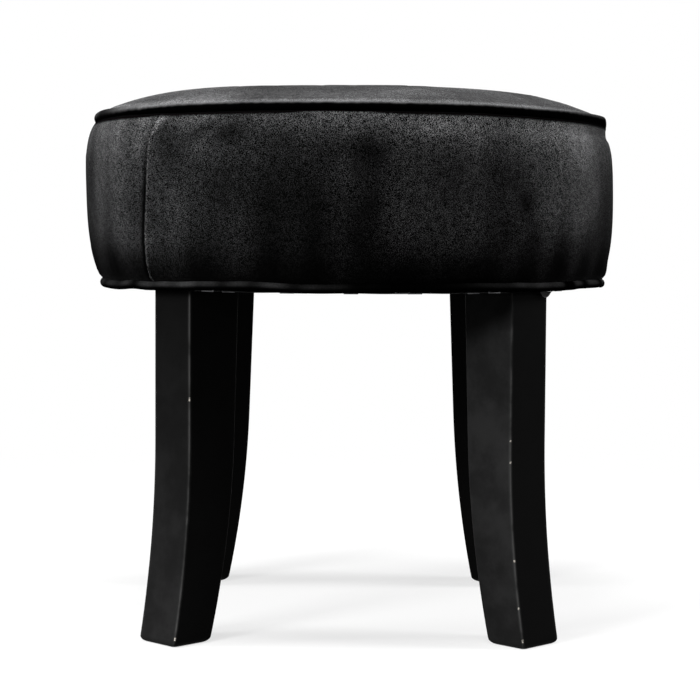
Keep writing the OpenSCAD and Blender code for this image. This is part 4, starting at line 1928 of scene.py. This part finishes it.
@dataclass
class Leg:
    """A curved leg of rectangular section with eased arrises and a rounded foot.

    Attributes:
        corner: Which leg it is.
        make: Its own depths and wear.
        width: Width across the outer face.
        outer_r: Radius from the seat's middle to the outer face, where it is straight.
        kick: How far the foot kicks out.
        knee_z: Height at which the curve begins.
        arris: Radius of the eased arrises.
        foot_round: Radius of the foot's edges.
        bolt_r: Radius from the seat's middle to the bolt.
        bore_r: Radius of the bolt's hole.
        bore_l: Depth of the bolt's hole.
        top_ease: How much smaller its top end is cut.
        side_places: Places of the points along each side of its section, as shares.
    """

    corner: Corner
    make: Make
    width: float = 38 * MM
    outer_r: float = 177.75 * MM
    kick: float = 14.5 * MM
    knee_z: float = 145 * MM
    arris: float = 1.0 * MM
    foot_round: float = 4.2 * MM
    bolt_r: float = 154.75 * MM
    bore_r: float = 4.05 * MM
    bore_l: float = 35 * MM
    top_ease: float = 0.5 * MM
    side_places: tuple[float, ...] = (0.04, 0.2, 0.4, 0.6, 0.8, 0.96)

    def __post_init__(self) -> None:
        """Works out the arcs of the two curved faces."""
        self.top_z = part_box(self.corner.node)[1].z
        self.slant = (self.make.top - self.make.knee) / (self.top_z - self.knee_z)
        normal = Vector((1.0, self.slant)).normalized()
        knee_in = Vector((self.outer_r - self.make.knee, self.knee_z))
        foot_in = Vector((self.outer_r + self.kick - self.make.heel, 0.0))
        across = foot_in - knee_in
        self.inner_arc = across.length_squared / (2 * across.dot(normal))
        self.inner_middle = knee_in + self.inner_arc * normal
        self.outer_arc = (self.kick ** 2 + self.knee_z ** 2) / (2 * self.kick)

    def faces_at(self, z: float) -> tuple[float, float]:
        """Radii of the inner and outer faces at height z.

        Args:
            z: Height above the floor.

        Returns:
            The inner and the outer radius.
        """
        if z >= self.knee_z:
            return self.outer_r - self.make.knee - self.slant * (z - self.knee_z), self.outer_r
        drop = z - self.inner_middle.y
        inner = self.inner_middle.x - math.sqrt(self.inner_arc ** 2 - drop ** 2)
        outer = self.outer_r + self.outer_arc - math.sqrt(self.outer_arc ** 2 - (self.knee_z - z) ** 2)
        return inner, outer

    def section(self, z: float) -> Array:
        """Outline of the leg at height z, as a rounded rectangle.

        Args:
            z: Height above the floor.

        Returns:
            One row a point: its radius and side, how rubbed, highlit and chipped it is, and its painted
                light.
        """
        inner, outer = self.faces_at(z)
        rise = max(0.0, self.foot_round - z)
        inset = self.foot_round - math.sqrt(self.foot_round ** 2 - rise ** 2)
        bend = self.arris + 0.6 * inset
        middle, half_r, half_s = (outer + inner) / 2, (outer - inner) / 2 - inset, self.width / 2 - inset

        def at_corner(signs: tuple[int, int], turn: float) -> tuple[float, float]:
            """Point of a corner's bend, where its face looks along the turn in radians."""
            return (middle + signs[0] * (half_r - bend) + bend * math.cos(turn),
                    signs[1] * (half_s - bend) + bend * math.sin(turn))

        corners = [(1, -1), (1, 1), (-1, 1), (-1, -1)]
        make, at_top = self.make, z == self.top_z
        # Painted light: the outer face grows paler towards the floor, and the sides take their own level.
        outside = make.outside + (make.foot - make.outside) * (1 - z / self.top_z)
        sides = make.sides * (0.55 + 0.45 * z / self.top_z)
        rows = []
        for i, corner in enumerate(corners):
            outer_side = corner[0] > 0
            chipped = any(outer_side and chip.side == corner[1] and abs(z - chip.z) < chip.reach
                          for chip in make.chips)
            # Rubbed arrises on the outer face; along the top edge this is a painted highlight.
            rub = make.arris if outer_side or at_top else 0.0
            before, after = (outside if i == 1 else sides), (outside if i == 0 else sides)
            for step in range(5):
                inner_turn = 0 < step < 4
                place = at_corner(corner, math.radians(90 * (i - 1) + 22.5 * step))
                rows.append((*place, rub if inner_turn or at_top else 0.25 * rub,
                             float(chipped and inner_turn), before if step < 2 else after))
            here, away = rows[-1], at_corner(corners[(i + 1) % 4], math.radians(90 * i))
            for share in self.side_places:
                rows.append((here[0] + share * (away[0] - here[0]), here[1] + share * (away[1] - here[1]),
                             make.arris if at_top else 0.0, 0.0, after))
        return np.array(rows)

    def levels(self) -> list[float]:
        """Heights of the leg's rings, with fine ones at the chips.

        Returns:
            The heights, rising.
        """
        foot = self.foot_round * (1 - np.cos(np.linspace(0.0, math.pi / 2, 9)))
        shaft = np.linspace(self.foot_round + 2 * MM, self.top_z - 0.6 * MM, 90)
        beside = (-1.3, -0.9, -0.3, 0.3, 0.9, 1.3)
        fine = [chip.z + chip.reach * t for chip in self.make.chips for t in beside]
        return sorted([*foot[:-1], *shaft, *(z for z in fine if z > self.foot_round)]) + [self.top_z]

    def build(self, finishes: Finishes) -> bpy.types.Object:
        """Builds and dresses the leg.

        Args:
            finishes: The stool's finishes.

        Returns:
            The leg.
        """
        rings, marks = [], []
        for z in self.levels():
            outline = self.section(z)
            if z == self.top_z:
                middle = outline[:, :2].mean(axis=0)
                outline[:, :2] = middle + (outline[:, :2] - middle) * (1 - self.top_ease / self.width)
            rings.append(np.column_stack([outline[:, :2], np.full(len(outline), z)]))
            marks.append(outline[:, 2:])
        count = len(rings[0])
        bolt = np.array([self.bolt_r, 0.0])
        spokes = rings[-1][:, :2] - bolt
        bore = bolt + self.bore_r * spokes / np.linalg.norm(spokes, axis=1)[:, None]
        for z in (self.top_z, self.top_z - self.bore_l):
            rings.append(np.column_stack([bore, np.full(count, z)]))
        faces: Faces = []
        for i in range(len(rings) - 1):
            faces += quads_between(i * count, (i + 1) * count, count)
        floor_middle = np.append(rings[0][:, :2].mean(axis=0), 0.0)
        bore_middle = np.append(bolt, self.top_z - self.bore_l)
        points = np.vstack([*rings, floor_middle, bore_middle])
        first, last = len(points) - 2, len(points) - 1
        faces += fan(first, 0, count, turned=True) + fan(last, (len(rings) - 1) * count, count)
        turn = math.radians(self.corner.value)
        spun = points.copy()
        spun[:, 0] = points[:, 0] * math.cos(turn) - points[:, 1] * math.sin(turn)
        spun[:, 1] = points[:, 0] * math.sin(turn) + points[:, 1] * math.cos(turn)
        piece = make_object(f"{self.corner.name.lower()}_leg_lacquered", spun, faces, 40.0)
        values = np.vstack([*marks, np.zeros((2 * count + 2, 3))])
        for name, column_of in zip(("arris", "chip", "dull"), values.T):
            mark(piece, name, column_of)
        install(piece, Slot.LACQUER, finishes, self.corner.node)
        return piece


# The sides, outside and foot values paint light: paler on the lit faces of the front legs, dark on the back
# legs.
LEG_MAKES = {
    Corner.FRONT_LEFT: Make(46 * MM, 42.5 * MM, 34 * MM, 0.04, 0.0, 0.45, 0.75, (
        Chip(174 * MM, 1, 1.2 * MM), Chip(6.4 * MM, 1, 1.0 * MM))),
    Corner.FRONT_RIGHT: Make(44.5 * MM, 40.5 * MM, 33 * MM, 0.78, 0.03, 0.0, 0.7, (
        Chip(146 * MM, -1, 0.7 * MM), Chip(131 * MM, -1, 0.7 * MM), Chip(62 * MM, -1, 0.7 * MM),
        Chip(29 * MM, -1, 0.8 * MM), Chip(6.5 * MM, -1, 1.0 * MM))),
    Corner.BACK_LEFT: Make(48.5 * MM, 43 * MM, 31.5 * MM, 0.0, 0.1, 0.3, 0.08, (
        Chip(88 * MM, -1, 1.0 * MM),)),
    Corner.BACK_RIGHT: Make(46 * MM, 40 * MM, 29 * MM, 0.0, 0.1, 0.3, 0.12, (
        Chip(112 * MM, 1, 0.9 * MM),)),
}


# The studio


@dataclass(frozen=True)
class Lamp:
    """A square soft light.

    Attributes:
        name: The lamp's name.
        place: Where it hangs.
        size: Length of its sides.
        power: Its power in watts.
        aim: The point that it faces.
    """

    name: str
    place: Place
    size: float
    power: float
    aim: Place = (0.0, 0.0, 0.25)

    def hang(self) -> None:
        """Adds the lamp to the scene."""
        data = bpy.data.lights.new(self.name, "AREA")
        data.size = self.size
        data.energy = self.power
        lamp = bpy.data.objects.new(self.name, data)
        lamp.location = self.place
        lamp.rotation_euler = (Vector(self.aim) - Vector(self.place)).to_track_quat("-Z", "Y").to_euler()
        bpy.context.scene.collection.objects.link(lamp)


@dataclass
class Studio:
    """A white floor under a white surround, soft lamps, and the camera.

    Attributes:
        floor_r: Radius of the floor.
        surround: Level of the surround's soft light.
        floor_white: Share of plain white in the floor beside the stool, as the camera sees it.
        floor_bounce: Share of the light that the floor sends back up.
        lamps: The lamps.
        camera_place: Where the camera stands.
        focal: Focal length in pixels of the photograph's frame.
        pitch: How far the camera looks down.
        tilt: How far the picture leans to the right.
        sensor: Width of the camera's sensor in millimetres.
    """

    floor_r: float = 9.0
    surround: float = 0.03
    floor_white: float = 0.7
    floor_bounce: float = 0.06
    lamps: tuple[Lamp, ...] = (
        Lamp("top", (-0.2, -0.45, 2.6), 1.0, 60.0),
        Lamp("front_left", (-1.5, -1.75, 1.15), 0.6, 40.0),
        Lamp("left", (-2.1, -0.4, 1.25), 0.7, 34.0),
        Lamp("right", (2.1, -0.15, 1.35), 0.7, 46.0),
    )
    camera_place: Place = (-0.0004, -1.5801, 0.3011)
    focal: float = 2070.9
    pitch: float = math.radians(3.643)
    tilt: float = math.radians(0.343)
    sensor: float = 36.0

    def build(self) -> None:
        """Builds the floor, the surround, the lamps and the camera."""
        self.lay_floor()
        self.light_surround()
        for lamp in self.lamps:
            lamp.hang()
        self.stand_camera()
        bpy.context.scene.view_settings.view_transform = "Standard"
        LOG.info("studio: floor, surround, %d lamps and camera", len(self.lamps))

    def seen(self, graph: Graph) -> bpy.types.NodeSocket:
        """Socket that is 1 for rays that see the background directly, or in a gloss or through glass.

        Args:
            graph: Graph of the material or the world.

        Returns:
            The socket.
        """
        path = graph.add("LightPath").outputs
        glossy = graph.math("MAXIMUM", path["Is Camera Ray"], path["Is Glossy Ray"])
        return graph.math("MAXIMUM", glossy, path["Is Transmission Ray"])

    def lay_floor(self) -> None:
        """Lays the round floor, white to the eye but for the stool's shadow."""
        count = 96
        turn, r = even_angles(count), self.floor_r
        points = np.column_stack([r * np.cos(turn), r * np.sin(turn), np.zeros(count)])
        floor = make_object("floor", points, [tuple(range(count))], 180.0)
        material, graph, shader = new_material("white_floor", {"Roughness": 0.9, "Specular IOR Level": 0.0})
        seen = self.seen(graph)
        bounce = graph.mix(seen, (self.floor_bounce,) * 3, (0.9, 0.9, 0.9))
        material.node_tree.links.new(bounce, shader.inputs["Base Color"])
        glow = graph.add("Emission", {"Strength": 1.0})
        away = graph.add("VectorMath", {0: graph.place()}, operation="LENGTH").outputs["Value"]
        white = graph.ramp(away, 0.35, 1.1, self.floor_white, 1.0)
        share = graph.math("MULTIPLY", seen, white)
        both = graph.add("MixShader", {0: share, 1: shader.outputs[0], 2: glow.outputs[0]})
        output = next(n for n in material.node_tree.nodes if n.type == "OUTPUT_MATERIAL")
        material.node_tree.links.new(both.outputs[0], output.inputs["Surface"])
        floor.data.materials.append(material)

    def light_surround(self) -> None:
        """Sets the white surround, at a lower level where it lights the stool."""
        world = bpy.data.worlds.new("surround")
        world.use_nodes = True
        bpy.context.scene.world = world
        tree = world.node_tree
        tree.nodes.clear()
        graph = Graph(tree)
        level = graph.ramp(self.seen(graph), 0.0, 1.0, self.surround, 1.0)
        back = graph.add("Background", {"Color": (1.0, 1.0, 1.0, 1.0), "Strength": level})
        graph.add("OutputWorld", {"Surface": back.outputs[0]})

    def stand_camera(self) -> None:
        """Stands the camera at the photograph's place."""
        data = bpy.data.cameras.new("camera")
        data.sensor_width = self.sensor
        data.lens = self.focal / PHOTO_SIZE * self.sensor
        data.clip_start, data.clip_end = 0.05, 60.0
        camera = bpy.data.objects.new("camera", data)
        turned = Matrix.Rotation(math.pi / 2 - self.pitch, 4, "X") @ Matrix.Rotation(self.tilt, 4, "Z")
        camera.matrix_world = Matrix.Translation(self.camera_place) @ turned
        bpy.context.scene.collection.objects.link(camera)
        bpy.context.scene.camera = camera


class InnerParts:
    """The hidden CAD nodes that keep their own shape and only need a finish."""

    def dress(self, finishes: Finishes) -> None:
        """Gives each carried-over node the finish of its slot.

        Args:
            finishes: The stool's finishes.
        """
        slots = {part["node"]: part["material_slot"] for part in frame["record"]["subparts"]}
        for name, node in frame["nodes"].items():
            if not node.hide_render:
                finishes.dress(node, Slot(slots[name]))
                LOG.info("%s: kept from the frame", name)


def main() -> None:
    """Builds the stool and its studio."""
    logging.basicConfig(level=logging.INFO, format="%(message)s")
    finishes = Finishes()
    form = SeatForm()
    Crown(form).build(finishes)
    Band(form).build(finishes)
    for rim in Rim:
        Piping(form, rim).build(finishes)
    Padding(form).build(finishes)
    DustCover().build(finishes)
    for corner in Corner:
        Leg(corner, LEG_MAKES[corner]).build(finishes)
    InnerParts().dress(finishes)
    Studio().build()


if __name__ == "__main__":
    main()
